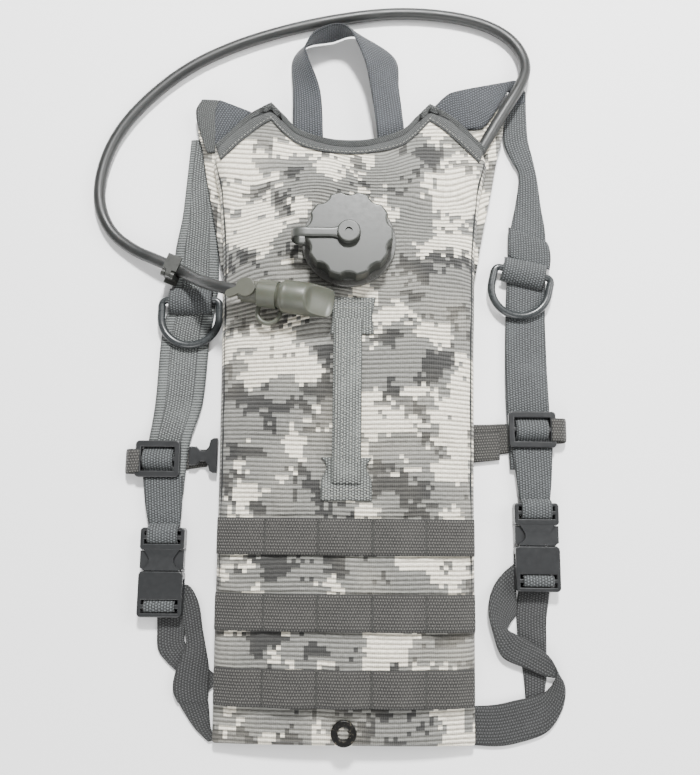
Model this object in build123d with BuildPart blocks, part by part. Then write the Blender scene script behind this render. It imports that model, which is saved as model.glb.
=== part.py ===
"""Hydration pack: an insulated carrier with a three litre reservoir, drinking hose and harness.

Millimetres. The pack lies on its back: +Z points out of the front panel, +Y towards the
haul handle. The origin is on the back panel's resting face, on the pack's centre line.
"""
import os
from math import pi

from build123d import *

os.makedirs("parts", exist_ok=True)

# ---------------------------------------------------------------- driving dimensions
back_thick = 8.0
fabric = 2.5
liner_gap = fabric + 0.3
foam = 3.5
bag_gap = 27.0
bag_drop = 9.0
bag_wall = 1.5
bottom_y = -247.0
web_thick = 1.8
strap_low = 2.0
strap_top = 4.4

panel_z = 38.0
filler_y = 108.0
neck_r = 26.0
neck_bore = 23.0
neck_top = 52.0
cap_r = 31.7
cap_low = 43.0
cap_top = 58.0
notch_count = 10
button_r = 8.3
stem_r = 3.0

hose_r = 4.5
hose_bore = 3.2
hose_z = 14.4
hose_exit = Vector(103, 194.7, hose_z)
valve_inlet = Vector(-78, 68.5, 45.5)
valve_axis = Vector(0.977, -0.163, 0.134)

grommet_y = -237.5
grommet_z = 19.0
grommet_bore = 4.2

ring_bar = 2.6
ring_z = strap_top + 0.4 + ring_bar
buckle_low = 2.0
buckle_high = 11.5

# one side of the front panel's edge, from the shoulder peak down to the bottom corner
front_edge = [
    (62, 226), (78, 218), (103, 195), (107, 179), (100, 151),
    (95.5, 105), (93.5, 28), (92, -94), (91.5, bottom_y),
]
# the back panel has the same edge with an ear at each shoulder
back_edge = [
    (62, 226), (80, 224.5), (106, 236), (118, 234), (124, 224), (116, 192),
    (96.5, 87), (93.5, 28), (92, -94), (91.5, bottom_y),
]
# how far the crowned face falls at each distance from the centre line
crown_fall = [(0, 0), (35, 0), (70, 3), (92, 9), (135, 16)]
# height of the filled pack above the ground along its centre line
crown = [
    (-252, 19), (-225, 19), (-195, 28), (-130, 33.5), (0, 36.5),
    (55, panel_z), (160, panel_z), (195, 31), (245, 26),
]


# ---------------------------------------------------------------- shared shapes
def edge_line(edge):
    """Closed outline: the collar's hollow arc and the same edge on both sides."""
    collar = ThreePointArc((-42, 202), (0, 189.5), (42, 202))
    Polyline(collar @ 1, *edge, *[(-x, y) for x, y in reversed(edge)], collar @ 0)


def pillow(inset, drop, low):
    """The stuffed shape of the pack, drawn in by inset at its sides and by drop at its crown."""
    with BuildPart() as shape:
        with BuildSketch(Plane.XY.offset(low)):
            with BuildLine():
                edge_line(front_edge)
            make_face()
            if inset:
                offset(amount=-inset, kind=Kind.INTERSECTION, mode=Mode.REPLACE)
        extrude(amount=panel_z + 8)
        add(crown_solid(-drop), mode=Mode.INTERSECT)
    return shape.part


def crown_solid(rise):
    """Everything below the pack's crowned front face, lifted by rise."""
    with BuildPart() as shape:
        for y, top in crown:
            high = top + rise
            side = [(reach, high - fall) for reach, fall in crown_fall] + [(135, -30)]
            with BuildSketch(Plane.XZ.offset(-y)):
                with BuildLine():
                    Polyline(*side, *[(-x, z) for x, z in reversed(side[1:])], close=True)
                make_face()
        loft(ruled=True)
    return shape.part


def cover(low_rise, thick, *outlines):
    """A layer that follows the crowned face, cut to the given outlines."""
    with BuildPart() as shape:
        with BuildSketch(Plane.XY.offset(back_thick)):
            for points in outlines:
                with BuildLine():
                    Polyline(*points, close=True)
                make_face()
        extrude(amount=panel_z + 8)
        add(crown_solid(low_rise + thick), mode=Mode.INTERSECT)
        add(crown_solid(low_rise), mode=Mode.SUBTRACT)
    return shape.part


def box_outline(left, right, low, high):
    return [(left, low), (right, low), (right, high), (left, high)]


def plate(points, low, high):
    """A flat piece of the given outline between two heights."""
    with BuildPart() as shape:
        with BuildSketch(Plane.XY.offset(low)):
            with BuildLine():
                Polyline(*points, close=True)
            make_face()
        extrude(amount=high - low)
    return shape.part


def web(stations, thick):
    """A webbing strap through stations of centre, width direction and width."""
    centres = [Vector(*centre) for centre, _, _ in stations]
    with BuildPart() as shape:
        for i, (centre, across, width) in enumerate(stations):
            ahead = centres[min(i + 1, len(centres) - 1)]
            behind = centres[max(i - 1, 0)]
            across = Vector(*across).normalized()
            along = ahead - behind
            along = along - across * along.dot(across)
            with BuildSketch(Plane(origin=centre, x_dir=across, z_dir=along)):
                Rectangle(width, thick)
        loft(ruled=True)
    return shape.part


def corner_radii(points):
    """The largest arc that fits each corner of a route, as 0.45 of the shorter run allows."""
    radii = []
    for a, b, c in zip(points, points[1:], points[2:]):
        turn = (b - a).get_angle(c - b)
        shorter = min((b - a).length, (c - b).length)
        radii.append(0.45 * shorter / tan_half(turn))
    return radii


def tan_half(degrees):
    quarter = Vector(1, 0, 0).rotate(Axis.Z, degrees / 2)
    return quarter.Y / quarter.X


def hose(points):
    """A hose along straight runs joined by tangent arcs."""
    radii = corner_radii(points)
    with BuildPart() as shape:
        with BuildLine() as path:
            FilletPolyline(*points, radius=radii)
        route = path.wires()[0]
        with BuildSketch(Plane(origin=route @ 0, z_dir=route % 0)):
            Circle(hose_r)
            Circle(hose_bore, mode=Mode.SUBTRACT)
        sweep(path=route)
    section = pi * (hose_r**2 - hose_bore**2)
    length = route.length
    print(f"hose length {length:.1f} volume ratio {shape.part.volume / (section * length):.4f}")
    print("hose radii " + " ".join(f"{r:.0f}" for r in radii))
    return shape.part


def save(piece, label):
    piece.label = label
    export_step(piece, f"parts/{label}.step")


# ---------------------------------------------------------------- carrier
inner_route = [
    Vector(72, -148, hose_z), Vector(72.5, -40, hose_z), Vector(76, 95, hose_z),
    Vector(81, 142, hose_z), Vector(91, 172.8, hose_z), hose_exit,
]

# back panel: a padded board with a groove where the chest strap lies behind the pack
with BuildPart() as back_panel:
    with BuildSketch():
        with BuildLine():
            edge_line(back_edge)
        make_face()
    extrude(amount=back_thick)
    with BuildSketch():
        with Locations((15, -34)):
            Rectangle(170, 30)
    extrude(amount=2.4, mode=Mode.SUBTRACT)
    with BuildSketch():
        with Locations((-76, -34)):
            Rectangle(36, 34)
    extrude(amount=5.6, mode=Mode.SUBTRACT)
save(back_panel.part, "back_panel")

# front panel: the printed fabric shell, open at the back, with the filler and hose holes
with BuildPart() as front_panel:
    add(pillow(0, 0, back_thick))
    add(pillow(fabric, fabric, back_thick), mode=Mode.SUBTRACT)
    with Locations((0, filler_y, panel_z)):
        Cylinder(29, 20, mode=Mode.SUBTRACT)
    with Locations((0, grommet_y, grommet_z)):
        Cylinder(5.6, 12, mode=Mode.SUBTRACT)
    with BuildSketch(Plane(origin=inner_route[-2], z_dir=hose_exit - inner_route[-2])):
        Circle(hose_r + 0.6)
    extrude(amount=45, mode=Mode.SUBTRACT)
    with Locations((-33, 200, back_thick + 1), (33, 200, back_thick + 1)):
        Box(27, 50, 2.4, mode=Mode.SUBTRACT)
save(front_panel.part, "front_panel")

# foam liner just inside the shell
with BuildPart() as foam_liner:
    add(pillow(liner_gap, liner_gap, back_thick + 2.6))
    add(pillow(liner_gap + foam, liner_gap + foam, back_thick + 2.6), mode=Mode.SUBTRACT)
    with Locations((0, filler_y, panel_z)):
        Cylinder(29, 30, mode=Mode.SUBTRACT)
    with Locations((0, grommet_y, grommet_z)):
        Cylinder(10, 20, mode=Mode.SUBTRACT)
    with BuildSketch(Plane(origin=inner_route[-2], z_dir=hose_exit - inner_route[-2])):
        Circle(hose_r + 0.6)
    extrude(amount=45, mode=Mode.SUBTRACT)
save(foam_liner.part, "foam_liner")

# ears: the camouflage wedge between the front panel's side and the back panel's ear
ear_top = back_thick + 1.0
for side, label in ((-1, "left_shoulder_ear"), (1, "right_shoulder_ear")):
    with BuildPart() as ear:
        with BuildSketch(Plane.XY.offset(back_thick)):
            with BuildLine():
                Polyline(
                    (side * 79, 223.7), (side * 106, 236), (side * 118, 234), (side * 124, 224),
                    (side * 116, 192), (side * 97.5, 93), (side * 96.2, 105.5), (side * 100.6, 150),
                    (side * 107.7, 178.6), (side * 103.7, 195.6), close=True,
                )
            make_face()
        extrude(amount=ear_top - back_thick)
    save(ear.part, label)

# binding tape over the collar and over each shoulder's slanted edge
collar_band = [
    (-52, 213.5), (-42, 201.8), (-22, 192.6), (0, 189.4), (22, 192.6), (42, 201.8), (52, 213.5),
    (61.5, 225.2), (60, 209), (41, 188.3), (22, 181.6), (0, 179), (-22, 181.6), (-41, 188.3),
    (-60, 209), (-61.5, 225.2),
]
save(cover(0, 1.4, collar_band), "collar_binding")
for side, label in ((-1, "left_shoulder_binding"), (1, "right_shoulder_binding")):
    band = [
        (side * 62.2, 225.4), (side * 77.7, 217.4), (side * 102.4, 194.6), (side * 106.3, 179.5),
        (side * 97.5, 180), (side * 62, 210.8),
    ]
    save(cover(0, 1.4, band), label)

# three rows of load webbing across the front
for label, middle in (("upper", -105.0), ("middle", -156.5), ("lower", -207.5)):
    row = box_outline(-89.5, 89.5, middle - 12.7, middle + 12.7)
    save(cover(0, web_thick, row), f"{label}_load_webbing")

# retaining strap down the middle, with its upper tab and lower patch
upper_tab = [(-13, 39), (19, 39), (17.5, 52), (20, 66), (-14, 66), (-11.5, 52)]
save(cover(0, 1.6, upper_tab), "upper_strap_tab")
lower_patch = [(-18, -80), (18, -80), (18, -50), (9.6, -58), (-9.6, -58), (-18, -50)]
save(cover(0, 1.6, lower_patch), "lower_strap_patch")
save(cover(1.7, 2.2, box_outline(-9.8, 9.8, -66, 45)), "retaining_strap")

# haul handle: one loop of webbing, flat at its roots and on edge at its crest
handle_stations = [
    ((-33, 187, 9), (1, 0, 0), 24), ((-33, 207, 9.2), (1, 0, 0), 24),
    ((-35.3, 243, 12.5), (22, -5, 7), 24), ((-40, 268, 14), (13.8, -8, 17), 24),
    ((-34, 282, 14.5), (4, -5, 23), 24), ((-24, 289, 14.6), (0, -1, 24), 24),
    ((-10, 292.5, 14.6), (0, -2, 24), 24), ((4, 290, 14.6), (-1, -9, 22), 24),
    ((18, 278, 14), (-14, -10, 18), 24), ((26, 258, 13), (-22, -8, 13), 24),
    ((29, 236, 12), (-22, -4, 6), 24), ((33, 207, 9.2), (-1, 0, 0), 24),
    ((33, 187, 9), (-1, 0, 0), 24),
]
save(web(handle_stations, web_thick), "haul_handle")

# drain grommet: eyelet with its flange outside, and the washer it is set against
with BuildPart() as grommet_eyelet:
    with BuildSketch(Plane.XY.offset(grommet_z - 4.4)):
        with Locations((0, grommet_y)):
            Circle(5.4)
            Circle(grommet_bore, mode=Mode.SUBTRACT)
    extrude(amount=5.4)
    with BuildSketch(Plane.XY.offset(grommet_z)):
        with Locations((0, grommet_y)):
            Circle(8.8)
            Circle(grommet_bore, mode=Mode.SUBTRACT)
    extrude(amount=1.8)
    fillet(grommet_eyelet.edges().group_by(Axis.Z)[-1], 0.8)
save(grommet_eyelet.part, "grommet_eyelet")
with BuildPart() as grommet_washer:
    with BuildSketch(Plane.XY.offset(grommet_z - fabric - 1.3)):
        with Locations((0, grommet_y)):
            Circle(6.8)
            Circle(5.5, mode=Mode.SUBTRACT)
    extrude(amount=1.2)
save(grommet_washer.part, "grommet_washer")

# ---------------------------------------------------------------- reservoir and cap
bag_low = back_thick + bag_wall
filler = (0, filler_y)


def tube_up(low, high, outer, bore):
    """A round ring about the filler's axis, between two heights."""
    with BuildPart() as shape:
        with BuildSketch(Plane.XY.offset(low)):
            with Locations(filler):
                Circle(outer)
                if bore:
                    Circle(bore, mode=Mode.SUBTRACT)
        extrude(amount=high - low)
    return shape.part


port_y = -160
port_x = inner_route[0].X
bag_side = 65.0
with BuildPart() as reservoir_bag:
    add(pillow(bag_gap, bag_drop, bag_low))
    add(pillow(bag_gap + bag_wall, bag_drop + bag_wall, bag_low + bag_wall), mode=Mode.SUBTRACT)
    add(tube_up(bag_low + 5, panel_z, neck_r + 0.1, 0), mode=Mode.SUBTRACT)
    with BuildSketch(Plane(origin=(bag_side - 12, port_y, hose_z), z_dir=(1, 0, 0))):
        Circle(5.1)
    extrude(amount=20, mode=Mode.SUBTRACT)
save(reservoir_bag.part, "reservoir_bag")

# filler neck with the flange that is welded inside the bag
with BuildPart() as filler_neck:
    add(tube_up(24.0, neck_top, neck_r, neck_bore))
    add(tube_up(24.0, 27.3, neck_r + 6, neck_bore))
save(filler_neck.part, "filler_neck")

# clamp ring outside the front panel
with BuildPart() as filler_flange:
    add(tube_up(panel_z + 0.1, panel_z + 2.9, 34.5, neck_r + 0.2))
    fillet(filler_flange.edges().group_by(Axis.Z)[-1].sort_by(SortBy.LENGTH)[-1], 1.0)
save(filler_flange.part, "filler_flange")

# screw cap with concave grip notches round its rim
with BuildPart() as cap:
    add(tube_up(cap_low, cap_top, cap_r, 0))
    with BuildSketch(Plane.XY.offset(cap_low)):
        with Locations(filler):
            with PolarLocations(cap_r + 5.6, notch_count, start_angle=-90):
                Circle(8.2)
    extrude(amount=cap_top - cap_low, mode=Mode.SUBTRACT)
    fillet(cap.edges().group_by(Axis.Z)[-1], 1.6)
    add(tube_up(cap_low, cap_top - 4, neck_r + 0.5, 0), mode=Mode.SUBTRACT)
    add(tube_up(cap_top - 2.8, cap_top, stem_r + 0.3, 0), mode=Mode.SUBTRACT)
save(cap.part, "cap")
save(tube_up(neck_top + 0.3, cap_top - 4, neck_r + 0.3, 22.0), "cap_gasket")

# tether button that snaps into the top of the cap
eye_low = cap_top + 0.3
eye_high = eye_low + 1.6
with BuildPart() as tether_button:
    add(tube_up(cap_top - 2.5, eye_high + 0.3, stem_r, 0))
    add(tube_up(eye_high + 0.3, eye_high + 3.0, button_r, 0))
    fillet(tether_button.edges().group_by(Axis.Z)[-1], 1.2)
    with BuildSketch(Plane.XY.offset(eye_high + 3.0)):
        with Locations(filler):
            Circle(2.6)
    extrude(amount=-1.2, mode=Mode.SUBTRACT)
save(tether_button.part, "tether_button")

# tether: a ring under the cap, a riser outside its rim and a strap to the button's eye
tether_low = panel_z + 3.1
tether_out = -40.0
tether_half = 3.4
with BuildPart() as cap_tether:
    add(tube_up(tether_low, tether_low + 1.5, 30, neck_r + 0.3))
    tab = box_outline(tether_out, -28, filler_y - tether_half, filler_y + tether_half)
    add(plate(tab, tether_low, tether_low + 1.5))
    riser = box_outline(tether_out, tether_out + 2, filler_y - tether_half, filler_y + tether_half)
    add(plate(riser, tether_low, eye_high))
    strip = box_outline(tether_out, 0, filler_y - tether_half, filler_y + tether_half)
    add(plate(strip, eye_low, eye_high))
    add(tube_up(eye_low, eye_high, button_r - 0.3, 0))
    add(tube_up(eye_low, eye_high, stem_r + 0.3, 0), mode=Mode.SUBTRACT)
save(cap_tether.part, "cap_tether")

# elbow from the bag's side to the inner hose, with a barb inside the hose
with BuildPart() as hose_elbow:
    with BuildSketch(Plane(origin=(bag_side - 2, port_y, hose_z), z_dir=(1, 0, 0))):
        Circle(4.6)
    extrude(amount=port_x + 4.6 - bag_side + 2)
    with BuildSketch(Plane(origin=(port_x, port_y, hose_z), z_dir=(0, 1, 0))):
        Circle(4.6)
    extrude(amount=inner_route[0].Y - port_y)
    with BuildSketch(Plane(origin=(port_x, inner_route[0].Y, hose_z), z_dir=(0, 1, 0))):
        Circle(hose_bore - 0.1)
    extrude(amount=10)
save(hose_elbow.part, "hose_elbow")

# ---------------------------------------------------------------- hose, clip and bite valve
save(hose(inner_route), "inner_hose")
hose_route = [
    hose_exit, Vector(112.5, 212, hose_z), Vector(124, 231, 15), Vector(135, 249.5, 13.2),
    Vector(141, 266, 9.2), Vector(138.5, 283, 5.8), Vector(128, 297.5, 5), Vector(109.5, 308.5, 5),
    Vector(82, 315.5, 5), Vector(46, 318.5, 5), Vector(12, 316, 5), Vector(-24, 309.5, 5),
    Vector(-60, 300, 5), Vector(-96, 287, 5), Vector(-131, 268.5, 5), Vector(-161, 242.5, 5),
    Vector(-184.5, 213, 5), Vector(-196.5, 181.5, 5), Vector(-198, 151, 5), Vector(-187, 126.5, 5),
    Vector(-167.5, 111.5, 6.2), Vector(-147.6, 102.5, 10), Vector(-131.5, 95.2, 11.6),
    Vector(-121.6, 88.6, 17.8), Vector(-113.2, 82.2, 26.5), Vector(-105.6, 77.2, 35),
    Vector(-97.3, 73.2, 41.2), valve_inlet - valve_axis.normalized() * 11, valve_inlet,
]
save(hose(hose_route), "drink_hose")

# hose clip: a foot on the left strap with a side post, and a jaw hinged over the hose
clip_plane = Plane(origin=(-134, 96, strap_top), x_dir=(0.93, -0.36, 0), z_dir=(0, 0, 1))
clip_jaw_z = 13.6
clip_pin_y = -7.6
pin_plane = Plane(
    origin=clip_plane.from_local_coords((-5, clip_pin_y, clip_jaw_z)), z_dir=clip_plane.x_dir
)
with BuildPart() as hose_clip_base:
    with BuildSketch(clip_plane):
        with Locations((0, -3.5)):
            Rectangle(10, 17)
    extrude(amount=1.4)
    with BuildSketch(clip_plane):
        with Locations((0, clip_pin_y)):
            Rectangle(10, 3)
    extrude(amount=clip_jaw_z - 2.6)
    with BuildSketch(pin_plane):
        Circle(2.8)
    extrude(amount=2.8)
    with BuildSketch(pin_plane.offset(7.2)):
        Circle(2.8)
    extrude(amount=2.8)
    with BuildSketch(pin_plane):
        Circle(1.1)
    extrude(amount=10)
save(hose_clip_base.part, "hose_clip_base")
with BuildPart() as hose_clip_jaw:
    with BuildSketch(pin_plane.offset(3.1)):
        Circle(2.2)
    extrude(amount=3.8)
    with BuildSketch(clip_plane.offset(clip_jaw_z + 0.2)):
        with Locations((0, -2.6)):
            Rectangle(3.8, 9.8)
        with Locations((0, 1.6)):
            Rectangle(11, 12)
    extrude(amount=2)
    with BuildSketch(pin_plane.offset(3.1)):
        Circle(1.25)
    extrude(amount=3.8, mode=Mode.SUBTRACT)
save(hose_clip_jaw.part, "hose_clip_jaw")

# shut-off valve along the hose's last direction; its lever stands on the upper side
valve_plane = Plane(origin=valve_inlet, x_dir=(-0.134, 0.02, 0.99), z_dir=valve_axis)


def valve_length(start, end, radius):
    """A round length of the valve, measured along its axis from the hose's end."""
    with BuildPart() as shape:
        with BuildSketch(valve_plane.offset(start)):
            Circle(radius)
        extrude(amount=end - start)
    return shape.part


lever_at = 7.0
lever_low = 8.5
lever_high = 11.2
lever_origin = valve_plane.from_local_coords((lever_low, 0, lever_at))
lever_plane = Plane(origin=lever_origin, x_dir=valve_plane.z_dir, z_dir=valve_plane.x_dir)
with BuildPart() as valve_body:
    add(valve_length(-8, 0, hose_bore - 0.1))
    add(valve_length(0, 2.5, 6.4))
    add(valve_length(2.5, 14, 8))
    add(valve_length(14, 28, 6.9))
    with BuildSketch(lever_plane.offset(-6.5)):
        Circle(2.6)
    extrude(amount=12, mode=Mode.SUBTRACT)
    with BuildSketch(valve_plane.offset(-8)):
        Circle(1.9)
    extrude(amount=36, mode=Mode.SUBTRACT)
save(valve_body.part, "valve_body")
with BuildPart() as valve_lever:
    with BuildSketch(lever_plane.offset(-6)):
        Circle(2.5)
    extrude(amount=6)
    with BuildSketch(lever_plane):
        Circle(6.9)
        with Locations(Location((0, 0, 0), (0, 0, -150))):
            with Locations((7, 0)):
                SlotOverall(16, 5.6)
    extrude(amount=lever_high - lever_low)
    fillet(valve_lever.edges().group_by(Axis.Z)[-1], 0.5)
save(valve_lever.part, "valve_lever")

# bite valve: soft sleeve over the neck, round barrel and slanted mouthpiece with a slit
with BuildPart() as bite_valve:
    add(valve_length(20, 30, 8.4))
    with BuildSketch(valve_plane.offset(29)):
        Circle(9)
    with BuildSketch(valve_plane.offset(34)):
        Circle(11.8)
    loft()
    add(valve_length(34, 52, 11.8))
    with BuildSketch(valve_plane.offset(52)):
        Circle(11.8)
    with BuildSketch(valve_plane.offset(68)):
        with Locations((-3, 0)):
            Ellipse(5.5, 10)
    loft()
    with BuildSketch(valve_plane.offset(20)):
        Circle(7)
    extrude(amount=9, mode=Mode.SUBTRACT)
    with BuildSketch(valve_plane.offset(29)):
        Circle(4)
    extrude(amount=36, mode=Mode.SUBTRACT)
    with BuildSketch(valve_plane.offset(64)):
        with Locations((-3, 0)):
            Rectangle(0.6, 8)
    extrude(amount=6, mode=Mode.SUBTRACT)
save(bite_valve.part, "bite_valve")

# finger ring: a band round the sleeve with a pull ring at its side
with BuildPart() as bite_valve_ring:
    with BuildSketch(valve_plane.offset(15)):
        Circle(10)
    extrude(amount=13.5)
    with Locations(Location((-57, 53, 43.4), (0, -7, 0))):
        Torus(8.3, 1.7)
    with BuildSketch(valve_plane.offset(14.4)):
        Circle(8.5)
    extrude(amount=20, mode=Mode.SUBTRACT)
    with BuildSketch(valve_plane.offset(28.7)):
        Circle(11.4)
    extrude(amount=4.4, mode=Mode.SUBTRACT)
save(bite_valve_ring.part, "bite_valve_ring")

# ---------------------------------------------------------------- harness
left_strap = [
    (-126.5, 216), (-117.5, 192), (-108.6, 150), (-101.5, 112), (-101, 81), (-105.5, 43),
    (-108.6, -5), (-117, -36), (-119.5, -60), (-121, -77), (-148, -77), (-150, -60),
    (-148, -36), (-144.4, -5.6), (-142.8, 34), (-136.6, 81), (-135.2, 112.5), (-131.2, 139),
]
right_strap = [
    (126, 237), (125.6, 222), (119.5, 200), (130, 180), (130, 156), (125, 132), (122, 112),
    (118, 67), (115.6, 27), (118, -3), (120.5, -56), (152.5, -56),
    (152, -10), (150.4, 27.6), (151, 74.5), (151.2, 124), (149.5, 146.5), (144, 175),
    (139.6, 210), (139.8, 248),
]
save(plate(left_strap, strap_low, strap_top), "left_shoulder_strap")
save(plate(right_strap, strap_low, strap_top), "right_shoulder_strap")

# strap anchors: the webbing that leaves each shoulder and turns down to its strap
save(plate([(-104, 198), (-80.5, 223.5), (-106, 234.5)], ear_top, ear_top + 2), "left_strap_anchor")
right_anchor = [
    ((94, 227.5, ear_top + 2.2), (-0.58, 0.815, 0), 36), ((119.5, 247.5, 10.3), (-0.58, 0.815, 0), 12),
]
with BuildPart() as right_strap_anchor:
    add(web(right_anchor, web_thick))
    add(plate([(118, 249), (124, 255), (139.5, 248), (137, 240), (126.5, 238.5)], strap_top, 7.4))
    add(plate([(117.5, 249.5), (123.5, 254), (126, 250), (126.5, 240), (122, 240)], 7.4, 9.6))
save(right_strap_anchor.part, "right_strap_anchor")

# D-rings: a straight bar held in a keeper, with the bow lying down the strap
ring_half = 22.1
ring_leg = 13.0
keeper_half = 16.5
keeper_run = 13.0


ring_shoulder = 4.0
bow_half_width = 2.9


def ring_bow():
    """The bow's centre line, from one leg round to the other, about the ring's own centre."""
    Line((-ring_half, -ring_shoulder), (-ring_half, -ring_leg))
    ThreePointArc((-ring_half, -ring_leg), (0, -ring_leg - ring_half), (ring_half, -ring_leg))
    Line((ring_half, -ring_leg), (ring_half, -ring_shoulder))


def ring_head():
    """The bar's centre line with its two round shoulders."""
    inner = ring_half - ring_shoulder
    RadiusArc((-ring_half, -ring_shoulder), (-inner, 0), ring_shoulder)
    Line((-inner, 0), (inner, 0))
    RadiusArc((inner, 0), (ring_half, -ring_shoulder), ring_shoulder)


rings = {"left": (-120.6, 71.5, 0.0), "right": (134.5, 96.5, -13.0)}
for side, (ring_x, ring_y, turn) in rings.items():
    ring_plane = Plane(Location((ring_x, ring_y, ring_z), (0, 0, turn)))
    with BuildPart() as d_ring:
        shoulder_end = ring_plane.from_local_coords((-ring_half, -ring_shoulder, 0))
        with BuildLine(ring_plane) as head:
            ring_head()
        with BuildSketch(Plane(origin=shoulder_end, x_dir=ring_plane.x_dir, z_dir=ring_plane.y_dir)):
            Circle(ring_bar)
        sweep(path=head.wires()[0])
        with BuildLine(ring_plane) as bow:
            ring_bow()
        with BuildSketch(Plane(origin=shoulder_end, x_dir=ring_plane.x_dir, z_dir=-ring_plane.y_dir)):
            Ellipse(bow_half_width, ring_bar)
        sweep(path=bow.wires()[0])
    save(d_ring.part, f"{side}_d_ring")
    with BuildPart() as keeper:
        with BuildSketch(ring_plane.offset(strap_top - ring_z)):
            with Locations((0, 0)):
                RectangleRounded(2 * keeper_half, keeper_run, 1)
        extrude(amount=ring_z - strap_top + ring_bar + 1.9)
        bar_end = ring_plane.from_local_coords((-keeper_half - 1, 0, 0))
        with BuildSketch(Plane(origin=bar_end, z_dir=ring_plane.x_dir)):
            Circle(ring_bar + 0.3)
        extrude(amount=2 * keeper_half + 2, mode=Mode.SUBTRACT)
    save(keeper.part, f"{side}_d_ring_keeper")

# adjusters: a ladder frame on each strap, with the chest strap's loop at its outer side
adjusters = {"left": (-139.7, -50.0, 33, 27), "right": (137.7, -25.4, 35, 27)}
adjuster_low = strap_top + 0.2
adjuster_thick = 5.0
for side, (x, y, wide, tall) in adjusters.items():
    with BuildPart() as adjuster:
        with BuildSketch(Plane.XY.offset(adjuster_low)):
            with Locations((x, y)):
                RectangleRounded(wide, tall, 3)
                with GridLocations(0, 10.4, 1, 2):
                    Rectangle(wide - 8.5, 7.2, mode=Mode.SUBTRACT)
        extrude(amount=adjuster_thick)
        fillet(adjuster.edges().group_by(Axis.Z)[-1], 0.8)
    save(adjuster.part, f"{side}_adjuster")


def bar_loop(x, y, across, along, low, high):
    """Webbing wrapped once round a cross bar: a flat ring, open along X."""
    with BuildPart() as loop:
        with Locations((x, y, (low + high) / 2)):
            Box(across, along, high - low)
            Box(across + 2, along - 3.2, high - low - 3.2, mode=Mode.SUBTRACT)
    return loop.part


# buckles: centre x and the y of the socket's mouth
buckles = {"left": (-132.6, -131.0), "right": (138.6, -110.5)}
socket_low = 3.4
socket_high = 10.1
for side, (x, mouth) in buckles.items():
    # socket half with its ladder bar
    with BuildPart() as socket:
        with BuildSketch(Plane.XY.offset(buckle_low)):
            with Locations((x, mouth - 16)):
                RectangleRounded(32, 32, 3)
            with Locations((x, mouth - 21.5), (x, mouth - 27.5)):
                Rectangle(26, 3, mode=Mode.SUBTRACT)
        extrude(amount=buckle_high - buckle_low)
        fillet(socket.edges().group_by(Axis.Z)[-1], 0.8)
        with BuildSketch(Plane.XY.offset(socket_low)):
            with Locations((x, mouth - 8.5)):
                Rectangle(26.6, 18)
        extrude(amount=socket_high - socket_low, mode=Mode.SUBTRACT)
        with BuildSketch(Plane.XY.offset(socket_low + 0.6)):
            with Locations((x, mouth - 10)):
                Rectangle(40, 9)
        extrude(amount=socket_high - socket_low - 1.2, mode=Mode.SUBTRACT)
    save(socket.part, f"{side}_buckle_socket")
    # plug half: ladder block, centre tongue and the waisted cover above its arms
    with BuildPart() as plug:
        with BuildSketch(Plane.XY.offset(buckle_low)):
            with Locations((x, mouth + 23)):
                RectangleRounded(32, 16, 2.5)
            with Locations((x, mouth + 21), (x, mouth + 27)):
                Rectangle(26, 3, mode=Mode.SUBTRACT)
        extrude(amount=buckle_high - buckle_low)
        fillet(plug.edges().group_by(Axis.Z)[-1], 0.8)
        with BuildSketch(Plane.XY.offset(socket_low + 0.4)):
            with Locations((x, mouth + 1)):
                Rectangle(10.8, 30)
        extrude(amount=socket_high - socket_low - 0.8)
        waist = [(13, 15.5), (10.5, 12), (8.8, 9), (8.8, 6), (10.5, 3.4), (13, 1.6), (13, 0.6)]
        cover_right = [(x + across, mouth + along) for across, along in waist]
        cover_left = [(x - across, mouth + along) for across, along in reversed(waist)]
        add(plate(cover_right + cover_left, socket_high - 0.5, buckle_high))
    save(plug.part, f"{side}_buckle_plug")
    # two spring arms, pressed towards each other to let the plug go
    for way, arm in ((-1, "left"), (1, "right")):
        outline = [
            (8.2, 14.5), (15.8, 14.5), (15.8, 2.4), (12.8, 0.6), (12.8, -14),
            (11.8, -16.4), (9.6, -16.4), (8.6, -4),
        ]
        points = [(x + way * across, mouth + along) for across, along in outline]
        save(plate(points, socket_low + 0.8, socket_high - 0.8), f"{side}_buckle_{arm}_arm")

# webbing tabs from each adjuster to its buckle's plug half
tab_low = strap_top + 0.4
tabs = {
    "left": [(-150.5, -64.5), (-121, -64.5), (-120.5, -84), (-121.6, -99.6), (-143.6, -99.6), (-147, -84)],
    "right": [(122.5, -39.7), (152.9, -39.7), (151.5, -62), (149.6, -79.1), (127.6, -79.1), (125.5, -62)],
}
for side, (x, mouth) in buckles.items():
    with BuildPart() as strap_tab:
        add(plate(tabs[side], tab_low, tab_low + web_thick))
        add(bar_loop(x, mouth + 24, 22, 8.4, buckle_low - 1.8, buckle_high + 1.8))
        over = box_outline(x - 11, x + 11, mouth + 27, mouth + 33)
        add(plate(over, buckle_high + 0.2, buckle_high + 1.8))
        down = box_outline(x - 11, x + 11, mouth + 31.4, mouth + 33)
        add(plate(down, tab_low, buckle_high + 1.8))
    save(strap_tab.part, f"{side}_strap_tab")

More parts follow.
